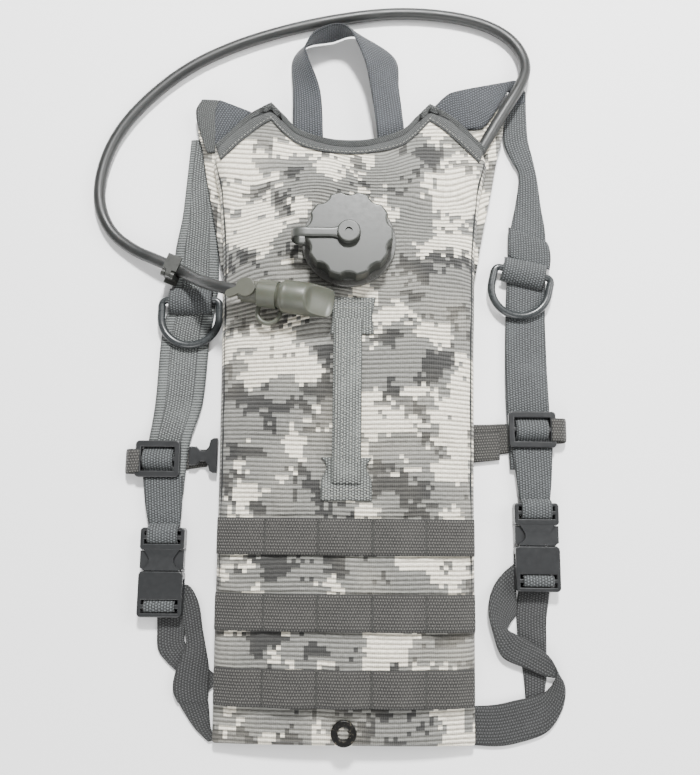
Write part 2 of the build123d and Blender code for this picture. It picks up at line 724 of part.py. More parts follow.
# lower straps: from the pack's bottom corners up to the socket halves
left_lower = [
    (-92.5, -221), (-104, -221), (-96, -213), (-98.3, -188), (-100.6, -178), (-107, -160),
    (-115.5, -163), (-113, -186), (-118.6, -199), (-121.6, -211), (-118, -219.5), (-114, -229),
    (-108.6, -237), (-101.9, -244.7), (-92.5, -247),
]
left_tail = [
    (-143, -163.5), (-121, -163.5), (-116.5, -172), (-114.5, -185), (-119.5, -198),
    (-128, -196), (-134, -184),
]
x, mouth = buckles["left"]
with BuildPart() as left_lower_strap:
    add(plate(left_lower, 0.4, 2.2))
    add(plate(left_tail, 1.6, 3.4))
    add(plate([(-122, -164), (-107, -159), (-107, -166), (-118, -171)], 1.0, 3.4))
    add(bar_loop(x, mouth - 24.5, 22, 8.4, buckle_low - 1.8, buckle_high + 1.8))
    add(plate(box_outline(x - 11, x + 11, mouth - 34, mouth - 27.2), 0.6, 2.0))
save(left_lower_strap.part, "left_lower_strap")
right_root = [
    (92, -221.5), (115, -220), (134, -215.7), (143.5, -209.6), (150, -200.6), (150.5, -194),
    (156.4, -215.3), (153, -226), (144, -234.3), (130, -241), (115, -246), (92, -248),
]
right_curl = [
    (156, -212), (150.3, -194), (147.7, -189.4), (131, -176.7), (115.3, -167.2), (111.5, -152),
    (117, -142), (117, -135), (108.3, -137), (102.3, -149.4), (105.2, -168.7), (109.5, -186.4),
    (126.3, -195.1), (143.5, -204),
]
right_drop = [(127.6, -137), (149.6, -137), (147, -163), (144.4, -217), (128, -217.5), (121.5, -163)]
x, mouth = buckles["right"]
with BuildPart() as right_lower_strap:
    add(plate(right_root, 2.0, 3.8))
    add(plate(right_curl, 3.8, 5.6))
    add(plate(right_drop, 0.2, 2.0))
    add(bar_loop(x, mouth - 24.5, 22, 8.4, buckle_low - 1.8, buckle_high + 1.8))
save(right_lower_strap.part, "right_lower_strap")

# chest strap: left loop and its plastic end, right strap running in the back panel's groove
with BuildPart() as chest_loop:
    add(plate(box_outline(-163, -103.5, -60, -43), 0.2, 1.8))
    add(plate(box_outline(-163, -156.6, -61, -43), 1.8, 8.2))
    add(plate(box_outline(-105, -103.2, -53.5, -41.5), 1.8, 4.6))
save(chest_loop.part, "chest_strap_loop")
chest_end_outline = [
    (-117, -54.5), (-111.5, -54.5), (-108.5, -51.5), (-105, -51.5), (-102.5, -54.5), (-101.5, -58.5),
    (-99, -60), (-96, -60), (-96, -34), (-99, -34), (-101.5, -35.5), (-102.5, -40.5), (-105, -43.5),
    (-108.5, -43.5), (-111.5, -40.5), (-117, -40.5),
]
with BuildPart() as chest_end:
    add(plate(chest_end_outline, 4.8, 7.4))
    add(plate(box_outline(-101, -96, -59, -35), 2.4, 4.9))
    fillet(chest_end.edges().group_by(Axis.Z)[-1], 0.7)
save(chest_end.part, "chest_strap_end")
with BuildPart() as chest_strap:
    add(plate(box_outline(-60, 158, -46.5, -21.5), 0.3, 1.9))
    add(plate(box_outline(157, 163.6, -34, -17), 0.3, 8.0))
    add(plate(box_outline(97, 115, -49, -28), 1.9, 4.0))
save(chest_strap.part, "chest_strap")
with BuildPart() as chest_socket:
    add(plate(box_outline(-91, -60.3, -49, -19), 0.3, 5.2))
    fillet(chest_socket.edges().filter_by(Axis.Z), 3)
save(chest_socket.part, "chest_strap_socket")
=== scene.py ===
"""Looks of the hydration pack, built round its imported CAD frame.

Metres, in the frame's own axes: the pack lies on its back, +Z out of its front panel, +Y
towards the haul handle. Shapes are written in millimetres and scaled as they are made.
"""
from math import cos, hypot, pi, radians, sin

import bmesh
import bpy
import numpy as np
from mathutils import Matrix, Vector, noise
from mathutils.bvhtree import BVHTree


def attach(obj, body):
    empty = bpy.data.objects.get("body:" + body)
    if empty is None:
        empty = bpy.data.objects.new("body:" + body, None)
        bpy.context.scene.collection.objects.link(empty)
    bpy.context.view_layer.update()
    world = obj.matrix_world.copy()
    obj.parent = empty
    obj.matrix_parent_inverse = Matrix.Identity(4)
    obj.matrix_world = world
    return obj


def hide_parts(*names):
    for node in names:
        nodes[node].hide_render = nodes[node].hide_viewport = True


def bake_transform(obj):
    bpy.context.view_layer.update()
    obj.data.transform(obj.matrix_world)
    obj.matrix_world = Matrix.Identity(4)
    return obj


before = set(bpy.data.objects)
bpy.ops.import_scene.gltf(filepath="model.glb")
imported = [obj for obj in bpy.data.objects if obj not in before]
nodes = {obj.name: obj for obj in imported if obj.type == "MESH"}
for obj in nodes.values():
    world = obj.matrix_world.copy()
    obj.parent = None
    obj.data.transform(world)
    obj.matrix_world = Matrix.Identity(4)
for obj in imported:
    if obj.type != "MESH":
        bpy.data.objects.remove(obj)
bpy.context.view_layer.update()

MM = 0.001
BODY = "pack"

# -------- driving sizes, millimetres
BOTTOM = -247.0
BACK_THICK = 8.0
FILLER = (0.0, 108.0)
FLANGE_R = 34.5
WEB_THICK = 1.8
LOAD_ROWS = (-105.0, -156.5, -207.5)
ROW_HALF = 12.7
TACK_X = (-56.0, -19.0, 19.0, 56.0)

# height of the filled pack along its centre line, and how it falls towards its sides
CROWN = [
    (-252, 19), (-225, 20), (-195, 28), (-130, 33.5), (0, 36.5), (55, 38), (160, 38), (195, 31), (245, 26),
]
FALL = [(0, 0), (35, 0), (70, -3), (92, -9), (135, -16)]

# right half of the outlines: top edge outwards from the centre, then side edge downwards
COLLAR = [(0, 189.5), (14, 190.9), (28, 195), (42, 202)]
FRONT_TOP = COLLAR + [(61.5, 222.5), (78, 216.5), (103, 193.5), (107, 179)]
FRONT_SIDE = [(107, 179), (100, 151), (95.5, 105), (93.5, 28), (92, -94), (91.5, BOTTOM)]
BACK_TOP = COLLAR + [(62, 226), (80, 224.5), (106, 236), (118, 234), (124, 224)]
BACK_SIDE = [(124, 224), (116, 192), (96.5, 87), (93.5, 28), (92, -94), (91.5, BOTTOM)]

# the drinking hose's route, the same points as the part's
HOSE_ROUTE = [
    (103, 194.7, 14.4), (112.5, 212, 14.4), (124, 231, 15), (135, 249.5, 13.2), (141, 266, 9.2),
    (138.5, 283, 5.8), (128, 297.5, 5), (109.5, 308.5, 5), (82, 315.5, 5), (46, 318.5, 5),
    (12, 316, 5), (-24, 309.5, 5), (-60, 300, 5), (-96, 287, 5), (-131, 268.5, 5),
    (-161, 242.5, 5), (-184.5, 213, 5), (-196.5, 181.5, 5), (-198, 151, 5), (-187, 126.5, 5),
    (-167.5, 111.5, 6.2), (-147.6, 102.5, 10), (-131.5, 95.2, 11.6), (-121.6, 88.6, 17.8),
    (-113.2, 82.2, 26.5), (-105.6, 77.2, 35), (-97.3, 73.2, 41.2), (-88.8, 70.3, 44.0),
    (-78, 68.5, 45.5),
]
HOSE_DIAMETER = 0.009
VALVE_INLET = Vector((-78, 68.5, 45.5))
VALVE_AXIS = Vector((0.977, -0.163, 0.134)).normalized()
VALVE_UP = Vector((-0.134, 0.02, 0.99))


# -------- shader graphs
def srgb(red, green, blue):
    """A colour given as screen values from 0 to 255, in linear light."""
    parts = [c / 255 for c in (red, green, blue)]
    return (*[c / 12.92 if c < 0.0404 else ((c + 0.055) / 1.055) ** 2.4 for c in parts], 1)


def tinted(colour, share, lift=0.0):
    """A lighter or darker colour."""
    return (*[min(1.0, c * share + lift) for c in colour[:3]], 1)


def give(target, **values):
    """Sets several properties of one thing."""
    for key, value in values.items():
        setattr(target, key, value)


class Graph:
    """Adds nodes to one material, and wires each as it is made."""

    def __init__(self, name, uv_map="fabric"):
        self.material = bpy.data.materials.new(name)
        self.material.use_nodes = True
        self.shader = self.material.node_tree.nodes["Principled BSDF"]
        self.uv_map = uv_map

    def put(self, socket, value):
        if isinstance(value, bpy.types.NodeSocket):
            self.material.node_tree.links.new(value, socket)
        else:
            socket.default_value = value

    def node(self, kind, inputs=None, output=0, **settings):
        made = self.material.node_tree.nodes.new("ShaderNode" + kind)
        give(made, **settings)
        for key, value in (inputs or {}).items():
            self.put(made.inputs[key], value)
        return made.outputs[output]

    def math(self, operation, *values):
        return self.node("Math", dict(enumerate(values)), operation=operation)

    def times(self, a, b):
        return self.math("MULTIPLY", a, b)

    def plus(self, a, b):
        return self.math("ADD", a, b)

    def cell(self, value, size):
        """Which cell of the given size a value falls in."""
        return self.math("FLOOR", self.math("DIVIDE", value, size))

    def nudged(self, value, by, share):
        """A value moved by a share of how far another is from a half."""
        return self.math("MULTIPLY_ADD", self.math("SUBTRACT", by, 0.5), share, value)

    def colour(self, share, low, high, blend_type="MIX"):
        return self.node("Mix", {0: share, 6: low, 7: high}, 2, data_type="RGBA", blend_type=blend_type)

    def noise(self, vector, scale, detail=2.0, roughness=0.5):
        inputs = {"Vector": vector, "Scale": scale, "Detail": detail, "Roughness": roughness}
        return self.node("TexNoise", inputs)

    def ramp(self, value, low, high, to_low=0.0, to_high=1.0):
        inputs = {0: value, 1: low, 2: high, 3: to_low, 4: to_high}
        return self.node("MapRange", inputs, interpolation_type="SMOOTHSTEP")

    def flat(self):
        """The piece's own flat coordinates, in metres."""
        return self.node("UVMap", uv_map=self.uv_map)

    def solid(self):
        return self.node("TexCoord", output=3)

    def split(self, vector):
        made = self.material.node_tree.nodes.new("ShaderNodeSeparateXYZ")
        self.put(made.inputs[0], vector)
        return made.outputs[0], made.outputs[1]

    def join(self, x, y, z=0.0):
        return self.node("CombineXYZ", {0: x, 1: y, 2: z})

    def wave(self, value, period):
        """From 0 to 1 and back over each period."""
        turn = self.times(value, 2 * pi / period)
        return self.math("MULTIPLY_ADD", self.math("SINE", turn), 0.5, 0.5)

    def bump(self, height, distance, strength=1.0, under=None):
        inputs = {"Height": height, "Distance": distance, "Strength": strength}
        if under is not None:
            inputs["Normal"] = under
        return self.node("Bump", inputs)

    def surface(self, colour, roughness, normal=None, **settings):
        self.put(self.shader.inputs["Base Color"], colour)
        self.put(self.shader.inputs["Roughness"], roughness)
        if normal is not None:
            self.put(self.shader.inputs["Normal"], normal)
        for key, value in settings.items():
            self.put(self.shader.inputs[key.replace("_", " ")], value)
        return self.material


def printed_fabric():
    """Ribbed nylon printed with a three-tone pattern of square blocks, with painted shade in the grooves
    between its ribs.
    """
    pixel = 0.0031
    rib = 0.0031
    g = Graph("printed_nylon")
    x, y = g.split(g.flat())
    wobble = g.noise(g.join(x, y), 8.0, 1.5)
    sway = g.ramp(y, -0.03, 0.15, 0.008, 0.08)
    y_rib = g.nudged(y, wobble, sway)
    column = g.cell(x, pixel)
    row = g.cell(y_rib, pixel)
    block = g.join(g.times(column, pixel), g.times(row, pixel * 1.25))
    speck = g.node("TexWhiteNoise", {"Vector": g.join(column, row)})
    patch = g.noise(block, 17.0, 3.0, 0.62)
    patch = g.nudged(patch, speck, 0.05)
    shifted = g.node("VectorMath", {0: block, 1: (3.7, 1.9, 0.4)}, operation="ADD")
    blot = g.noise(shifted, 30.0, 3.0, 0.62)
    blot = g.nudged(blot, speck, 0.07)
    is_light = g.math("GREATER_THAN", patch, g.ramp(y, -0.24, 0.05, 0.55, 0.525))
    is_dark = g.math("GREATER_THAN", blot, g.ramp(y, 0.02, 0.16, 0.545, 0.585))
    tone = g.colour(is_dark, srgb(130, 130, 125), srgb(52, 52, 50))
    tone = g.colour(is_light, tone, srgb(255, 248, 230))
    stray = g.times(is_light, g.math("GREATER_THAN", blot, 0.6))
    tone = g.colour(stray, tone, srgb(112, 111, 106))
    faded = g.noise(g.flat(), 14.0, 2.0)
    tone = g.colour(g.ramp(faded, 0.4, 0.8, 0.0, 0.3), tone, srgb(206, 200, 184))
    threads = g.wave(y_rib, rib)
    fibre = g.noise(g.join(g.times(x, 0.25), y), 1300.0, 2.0, 0.6)
    warp = g.wave(x, 0.0013)
    # painted shade: the grooves between the ribs are painted darker
    groove = g.ramp(threads, 0.0, 0.6, 1.0, 0.0)
    tone = g.colour(g.times(groove, 0.85), tone, (0.3, 0.29, 0.27, 1), "MULTIPLY")
    tone = g.colour(g.ramp(fibre, 0.42, 0.62, 0.0, 0.5), tone, (0.45, 0.44, 0.42, 1), "MULTIPLY")
    height = g.plus(threads, g.times(warp, 0.25))
    height = g.plus(height, g.times(fibre, 0.3))
    roughness = g.ramp(fibre, 0.2, 0.8, 0.82, 0.95)
    return g.surface(tone, roughness, g.bump(height, 0.0007), Sheen_Weight=0.15, Sheen_Roughness=0.6)


def webbing(name, colour, rib=0.0019, yarn=0.0021, worn=0.12, hem=2.0):
    """Woven nylon webbing: ribs across its width, yarns along it, and firm darker edges. Its hollows carry
    painted shade and its raised yarns a painted highlight.

    Beyond the share hem of its half width it is bound with tape ribbed across its edge.
    """
    # light serves as painted highlight on raised yarns and as fibre flecks and fading; dark as painted shade
    # in hollows and as the darker edges
    light = tinted(colour, 2.6)
    dark = tinted(colour, 0.18)
    g = Graph(name)
    x, y = g.split(g.flat())
    u = g.split(g.node("UVMap", uv_map="span"))[0]
    reach = g.math("ABSOLUTE", u)
    bound = g.math("GREATER_THAN", reach, hem)
    across = g.wave(x, yarn)
    slip = g.times(g.cell(x, yarn), rib / 2)
    along = g.wave(g.plus(y, slip), rib)
    weave = g.times(across, along)
    ribs = g.times(g.wave(y, rib * 1.1), 0.7)
    fibre = g.noise(g.flat(), 1100.0, 2.0, 0.65)
    height = g.node("Mix", {0: bound, 2: weave, 3: ribs}, data_type="FLOAT")
    height = g.plus(height, g.times(fibre, 0.3))
    # painted shade and painted highlight: low parts of the weave painted darker, raised yarns lighter
    tone = g.colour(g.ramp(height, 0.1, 0.6), dark, colour)
    tone = g.colour(g.ramp(height, 0.55, 1.1, 0.0, 0.8), tone, light)
    tone = g.colour(g.ramp(fibre, 0.5, 0.72, 0.0, 0.5), tone, light)
    faded = g.noise(g.flat(), 35.0, 3.0)
    tone = g.colour(g.ramp(faded, 0.45, 0.75, 0.0, worn), tone, light)
    rim = g.ramp(reach, 0.88, 1.0, 0.0, 0.5)
    fold = g.ramp(g.math("ABSOLUTE", g.math("SUBTRACT", reach, hem)), 0.0, 0.05, 0.7, 0.0)
    tone = g.colour(g.math("MAXIMUM", rim, fold), tone, dark)
    roughness = g.ramp(fibre, 0.2, 0.8, 0.7, 0.9)
    return g.surface(tone, roughness, g.bump(height, 0.0004), Sheen_Weight=0.1, Sheen_Roughness=0.5)


def moulded_plastic(name, colour, roughness, grain=900.0, worn=0.12):
    """Moulded plastic with a fine spark finish, small scuffs and paler worn edges."""
    pale = tinted(colour, 1.9, 0.02)
    dark = tinted(colour, 0.7)
    g = Graph(name)
    place = g.solid()
    spark = g.noise(place, grain, 2.0, 0.6)
    cloud = g.noise(place, 45.0, 3.0, 0.6)
    scuff = g.noise(place, 260.0, 4.0, 0.7)
    tone = g.colour(g.ramp(cloud, 0.3, 0.7, 0.75, 1.0), dark, colour)
    tone = g.colour(g.ramp(scuff, 0.62, 0.8, 0.0, worn), tone, pale)
    sharp = g.node("NewGeometry", output=7)
    tone = g.colour(g.ramp(sharp, 0.53, 0.6, 0.0, worn), tone, pale)
    rough = g.ramp(scuff, 0.3, 0.75, roughness - 0.04, roughness + 0.08)
    normal = g.bump(spark, 0.00004, 0.5, g.bump(scuff, 0.00003, 0.3))
    return g.surface(tone, rough, normal)


def rubber(name, colour, roughness=0.5):
    """Soft tube rubber: a bloom of dust over a smooth skin, with a faint fine speckle."""
    dusty = tinted(colour, 1.5, 0.03)
    g = Graph(name)
    place = g.solid()
    cloud = g.noise(place, 60.0, 4.0, 0.65)
    fine = g.noise(place, 1400.0, 2.0, 0.6)
    tone = g.colour(g.ramp(cloud, 0.4, 0.8, 0.0, 0.2), colour, dusty)
    tone = g.colour(g.ramp(fine, 0.6, 0.8, 0.0, 0.2), tone, dusty)
    rough = g.ramp(cloud, 0.3, 0.7, roughness - 0.04, roughness + 0.08)
    normal = g.bump(fine, 0.00005, 0.5)
    return g.surface(tone, rough, normal, Subsurface_Weight=0.04, Subsurface_Scale=0.002)


def plain_metal(name, colour):
    g = Graph(name)
    place = g.solid()
    worn = g.noise(place, 500.0, 3.0, 0.7)
    tone = g.colour(g.ramp(worn, 0.55, 0.75, 0.0, 0.5), colour, srgb(150, 140, 120))
    rough = g.ramp(worn, 0.3, 0.8, 0.3, 0.5)
    return g.surface(tone, rough, g.bump(worn, 0.00004, 0.5), Metallic=0.6)


def thread(name, colour):
    g = Graph(name)
    twist = g.noise(g.solid(), 3500.0, 1.0)
    dark = tinted(colour, 0.5)
    return g.surface(g.colour(g.ramp(twist, 0.35, 0.65), dark, colour), 0.65, g.bump(twist, 0.0001))


def mesh_fabric(name, colour):
    """Air mesh on the back: rows of small round holes, with painted shade in them."""
    dark = tinted(colour, 0.35)
    g = Graph(name)
    holes = g.node("TexVoronoi", {"Vector": g.flat(), "Scale": 520.0, "Randomness": 0.12})
    fibre = g.noise(g.flat(), 1800.0, 2.0)
    open_part = g.ramp(holes, 0.2, 0.34, 1.0, 0.0)
    # painted shade: the holes are painted darker
    tone = g.colour(open_part, colour, dark)
    tone = g.colour(g.times(fibre, 0.3), tone, dark)
    height = g.math("SUBTRACT", g.times(fibre, 0.3), open_part)
    return g.surface(tone, 0.88, g.bump(height, 0.0004), Sheen_Weight=0.2, Sheen_Roughness=0.6)


CAMO = printed_fabric()
LOAD_WEB = webbing("load_webbing_weave", srgb(60, 59, 56), worn=0.1)
STRAP_WEB = webbing("strap_webbing_weave", srgb(68, 71, 72))
# painted shade: a darker copy of the strap webbing for the lower straps
SHADED_LOWER_WEB = webbing("lower_webbing_shaded_weave", srgb(49, 50, 50))
BOUND_WEB = webbing("bound_strap_weave", srgb(88, 91, 90), hem=0.56)
HANDLE_WEB = webbing("handle_webbing_weave", srgb(59, 62, 66))
TAB_WEB = webbing("tab_webbing_weave", srgb(102, 105, 102), worn=0.2)
BINDING = webbing("binding_tape_weave", srgb(68, 70, 69), rib=0.0014, yarn=0.0016, worn=0.16)
BACK_MESH = mesh_fabric("back_mesh", srgb(84, 85, 80))
CAP_PLASTIC = moulded_plastic("cap_plastic", srgb(52, 54, 50), 0.38, grain=1500.0, worn=0.0)
FILLER_PLASTIC = moulded_plastic("filler_plastic", srgb(82, 82, 79), 0.24, worn=0.1)
BUCKLE_PLASTIC = moulded_plastic("buckle_plastic", srgb(33, 34, 35), 0.32)
RING_PLASTIC = moulded_plastic("ring_plastic", srgb(44, 47, 48), 0.28, worn=0.1)
CLIP_PLASTIC = moulded_plastic("clip_plastic", srgb(42, 43, 40), 0.36)
VALVE_PLASTIC = moulded_plastic("valve_plastic", srgb(68, 69, 60), 0.38, worn=0.1)
HOSE_RUBBER = rubber("hose_rubber", srgb(32, 33, 32), 0.42)
BITE_RUBBER = rubber("bite_rubber", srgb(68, 70, 60), 0.42)
GROMMET_METAL = plain_metal("grommet_metal", srgb(24, 24, 23))
THREAD = thread("sewing_thread", srgb(168, 168, 160))
DARK_THREAD = thread("dark_thread", srgb(50, 50, 47))
BAG_FILM = rubber("bag_film", srgb(150, 156, 152), 0.3)
FOAM = rubber("liner_foam", srgb(34, 35, 35), 0.9)


# -------- meshes
def through(points, per_span):
    """A smooth line through the points, as many steps to each span."""
    line = np.asarray(points, float)
    line = np.vstack([2 * line[0] - line[1], line, 2 * line[-1] - line[-2]])
    steps = (np.arange(per_span) / per_span)[:, None]
    spans = []
    for a, b, c, d in zip(line, line[1:], line[2:], line[3:]):
        bend = (2 * a - 5 * b + 4 * c - d) * steps**2 + (3 * b - a - 3 * c + d) * steps**3
        spans.append(0.5 * (2 * b + (c - a) * steps + bend))
    return np.vstack(spans + [line[-2:-1]])


def add_object(name, data):
    """A new object in the scene."""
    made = bpy.data.objects.new(name, data)
    bpy.context.scene.collection.objects.link(made)
    return made


def outward(piece):
    """Turns every face of a mesh to look outwards."""
    work = bmesh.new()
    work.from_mesh(piece.data)
    bmesh.ops.recalc_face_normals(work, faces=work.faces)
    work.to_mesh(piece.data)
    work.free()


def make_mesh(name, vertices, faces, material, maps=None):
    """A smooth-shaded piece. maps gives each UV map's coordinates, one for each vertex."""
    mesh = bpy.data.meshes.new(name)
    mesh.from_pydata(np.asarray(vertices, float).tolist(), [], faces)
    loops = np.empty(len(mesh.loops), int)
    mesh.loops.foreach_get("vertex_index", loops)
    for label, coordinates in (maps or {}).items():
        layer = mesh.uv_layers.new(name=label)
        layer.data.foreach_set("uv", np.asarray(coordinates, float)[loops].ravel())
    mesh.materials.append(material)
    mesh.shade_smooth()
    piece = add_object(name, mesh)
    outward(piece)
    return piece


def belongs(piece, slot, *replaced, body=BODY):
    """Gives a piece its body and hides the CAD nodes that it stands for. slot is not used."""
    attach(piece, body)
    if replaced:
        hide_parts(*replaced)
    return piece


def grid_faces(rows, columns, start=0):
    faces = []
    for i in range(rows - 1):
        for j in range(columns - 1):
            a = start + i * columns + j
            faces.append((a, a + 1, a + columns + 1, a + columns))
    return faces


def rim_ring(rows, columns):
    """The grid's outer points in order."""
    ring = [j for j in range(columns)] + [i * columns + columns - 1 for i in range(1, rows)]
    ring += [(rows - 1) * columns + j for j in range(columns - 2, -1, -1)]
    return ring + [i * columns for i in range(rows - 2, 0, -1)]


def slab_faces(rows, columns):
    """Faces of a closed slab: a grid of points, the same grid again below it, and its rim."""
    count = rows * columns
    faces = grid_faces(rows, columns)
    faces += [tuple(reversed(face)) for face in grid_faces(rows, columns, count)]
    ring = rim_ring(rows, columns)
    for a, b in zip(ring, ring[1:] + ring[:1]):
        faces.append((b, a, a + count, b + count))
    return faces


def tube_faces(rings, around, start=0):
    """Faces of a closed tube made of rings of points, with a cap at each end."""
    faces = []
    for ring in range(start, start + (rings - 1) * around, around):
        for k in range(around):
            a, b = ring + k, ring + (k + 1) % around
            faces.append((a, b, b + around, a + around))
    last = start + (rings - 1) * around
    faces.append(tuple(start + k for k in reversed(range(around))))
    faces.append(tuple(last + k for k in range(around)))
    return faces


def lengths_along(points):
    """Distance run along a line of points."""
    steps = np.linalg.norm(np.diff(points, axis=0), axis=1)
    return np.concatenate([[0], np.cumsum(steps)])


def cloth_strip(name, mid, thick, material, planar=False):
    """A closed strip of thick cloth about a grid of points, thinner at its two long edges.

    The grid's rows run along the strip. Its flat coordinates are the widths and lengths of
    the strip itself, or the plan position where planar is set.
    """
    rows, columns = mid.shape[:2]
    along = np.gradient(mid, axis=0)
    across = np.gradient(mid, axis=1)
    normal = np.cross(across, along)
    normal /= np.maximum(np.linalg.norm(normal, axis=2, keepdims=True), 1e-12)
    reach = np.linspace(-1, 1, columns)
    body = 1 - 0.55 * np.abs(reach) ** 8
    half = 0.5 * thick * body[None, :, None]
    vertices = np.vstack([(mid + normal * half).reshape(-1, 3), (mid - normal * half).reshape(-1, 3)])
    run = lengths_along(mid[:, columns // 2])
    widths = np.array([lengths_along(row) for row in mid])
    widths -= widths[:, -1:] / 2
    if planar:
        flat = mid[:, :, :2].reshape(-1, 2)
    else:
        flat = np.stack([widths, np.repeat(run[:, None], columns, 1)], 2).reshape(-1, 2)
    span = np.stack(np.broadcast_arrays(reach[None, :], run[:, None] / run[-1]), 2).reshape(-1, 2)
    maps = {"fabric": np.vstack([flat, flat]), "span": np.vstack([span, span])}
    return make_mesh(name, vertices, slab_faces(rows, columns), material, maps)


def strip_between(pairs, per_span=8, columns=11, crown=0.0):
    """Grid of points between two edges given as pairs of points, in millimetres.

    crown lifts the middle of the strip, so that it doesn't lie dead flat.
    """
    left, right = (through(line, per_span) for line in zip(*pairs))
    share = np.linspace(0, 1, columns)[None, :, None]
    grid = left[:, None] * (1 - share) + right[:, None] * share
    lift = crown * (1 - np.linspace(-1, 1, columns) ** 2)
    grid[:, :, 2] += lift[None, :]
    return grid * MM


def rungs(rows):
    """Pairs of points for a strip that runs along Y, from rows of y, left, right and height."""
    return [((left, y, z), (right, y, z)) for y, left, right, z in rows]


def uprights(rows):
    """Pairs of points for a strip that runs along X, from rows of x, low, high and height."""
    return [((x, low, z), (x, high, z)) for x, low, high, z in rows]


def ripple(grid, size, scale, seed=0.0):
    """Uneven lie of cloth: moves each point of the grid up or down by up to size."""
    for point in grid.reshape(-1, 3):
        place = Vector((point[0] * scale + seed, point[1] * scale, seed))
        point[2] += size * MM * noise.noise(place)
    return grid


def strap(
    name, pairs, material, *replaced, slot="strap_webbing",
    thick=WEB_THICK, uneven=0.5, crown=0.0, planar=False,
):
    grid = ripple(strip_between(pairs, crown=crown), uneven, 40.0, len(name))
    piece = cloth_strip(name, grid, thick * MM, material, planar)
    return belongs(piece, slot, *replaced)


def stitch_mesh(name, spots, material, length=2.3, radius=0.28, slot="strap_webbing"):
    """One piece of many short stitches. Each spot is a place and a direction along it."""
    ring = [(cos(2 * pi * k / 6), sin(2 * pi * k / 6)) for k in range(6)]
    profile = [(-0.5, 0.35), (-0.25, 1.0), (0.25, 1.0), (0.5, 0.35)]
    vertices = []
    faces = []
    for place, along in spots:
        along = Vector(along).normalized()
        side = along.cross(Vector((0, 0, 1))).normalized()
        rise = side.cross(along)
        faces += tube_faces(len(profile), len(ring), len(vertices))
        for at, size in profile:
            for wide, tall in ring:
                shift = along * (at * length) + (side * wide + rise * (tall * 0.8)) * (radius * size)
                vertices.append(Vector(place) + shift * MM)
    return belongs(make_mesh(name, vertices, faces, material), slot)


# -------- stage, camera and lights
def lay_stage():
    """A pale floor under the pack, the camera over it and three soft lights."""
    bpy.ops.mesh.primitive_plane_add(size=8)
    floor = bpy.context.object
    floor.name = "floor"
    g = Graph("floor_white")
    floor.data.materials.append(g.surface(srgb(250, 250, 250), 0.9))
    camera = add_object("camera", bpy.data.cameras.new("camera"))
    give(camera.data, sensor_width=36, lens=37.16)
    give(camera, location=(0.00296, -0.0993, 0.5993), rotation_euler=(radians(10), 0, 0.0106))
    bpy.context.scene.camera = camera
    for name, place, size, power in (
        ("key", (0.08, 0.98, 1.25), 0.2, 60),
        ("fill", (1.2, 0.4, 1.0), 0.9, 22),
        ("front", (-0.3, -1.4, 1.1), 1.1, 22),
    ):
        light = add_object(name, bpy.data.lights.new(name, "AREA"))
        give(light.data, size=size, energy=power)
        aim = Vector((0, 0.03, 0)) - Vector(place)
        give(light, location=place, rotation_euler=aim.to_track_quat("-Z", "Y").to_euler())
    world = bpy.data.worlds.new("studio")
    bpy.context.scene.world = world
    world.use_nodes = True
    background = world.node_tree.nodes["Background"].inputs
    background["Color"].default_value = (1, 1, 1, 1)
    background["Strength"].default_value = 0.5


lay_stage()


# -------- drinking hose
def make_hose():
    curve = bpy.data.curves.new("drink_tube", "CURVE")
    curve.dimensions = "3D"
    spline = curve.splines.new("NURBS")
    spline.points.add(len(HOSE_ROUTE) - 1)
    for point, place in zip(spline.points, HOSE_ROUTE):
        point.co = (*(Vector(place) * MM), 1)
    give(spline, order_u=3, use_endpoint_u=True, resolution_u=10)
    give(curve, bevel_depth=HOSE_DIAMETER / 2, bevel_resolution=6)
    curve.materials.append(HOSE_RUBBER)
    return belongs(add_object("drink_tube", curve), "hose_tube", "drink_hose")


hose = make_hose()


# -------- the pack's own surfaces
def between(points, at):
    """Height of a line of (place, height) points, its corners softened."""
    places, heights = np.array(points, float).T
    soften = np.array([-12, -6, 0, 6, 12])
    return np.mean([np.interp(at + shift, places, heights) for shift in soften], axis=0)


def dome(x, y):
    return between(CROWN, y) + between(FALL, np.abs(x))


def plan_grid(top, side, columns, rows):
    """Rows of plan points that fill an outline, from its bottom edge to its shaped top edge."""
    top_x, top_y = np.array(top, float).T
    side_x, side_y = np.array(side, float).T
    u = np.linspace(-1, 1, columns)
    y_end = np.interp(np.abs(u) * top_x[-1], top_x, top_y)
    grid = np.zeros((rows, columns, 2))
    for i, share in enumerate(np.linspace(0, 1, rows)):
        y = BOTTOM + share * (y_end - BOTTOM)
        half = np.interp(-y, -side_y, side_x)
        grid[i, :, 0] = u * half
        grid[i, :, 1] = y
    return grid


def edge_distance(grid):
    """How far each plan point is from the outline, in millimetres."""
    rim = np.vstack([grid[0], grid[:, -1], grid[-1][::-1], grid[::-1, 0]])
    flat = grid.reshape(-1, 2)
    gaps = [np.min(np.linalg.norm(rim - point, axis=1)) for point in flat]
    return np.array(gaps).reshape(grid.shape[:2])


def rim_drop(inside, radius):
    """How far a rounded rim falls, from the distance inside its edge."""
    near = np.clip(radius - inside, 0, None)
    return radius - np.sqrt(np.maximum(radius**2 - near**2, 0))


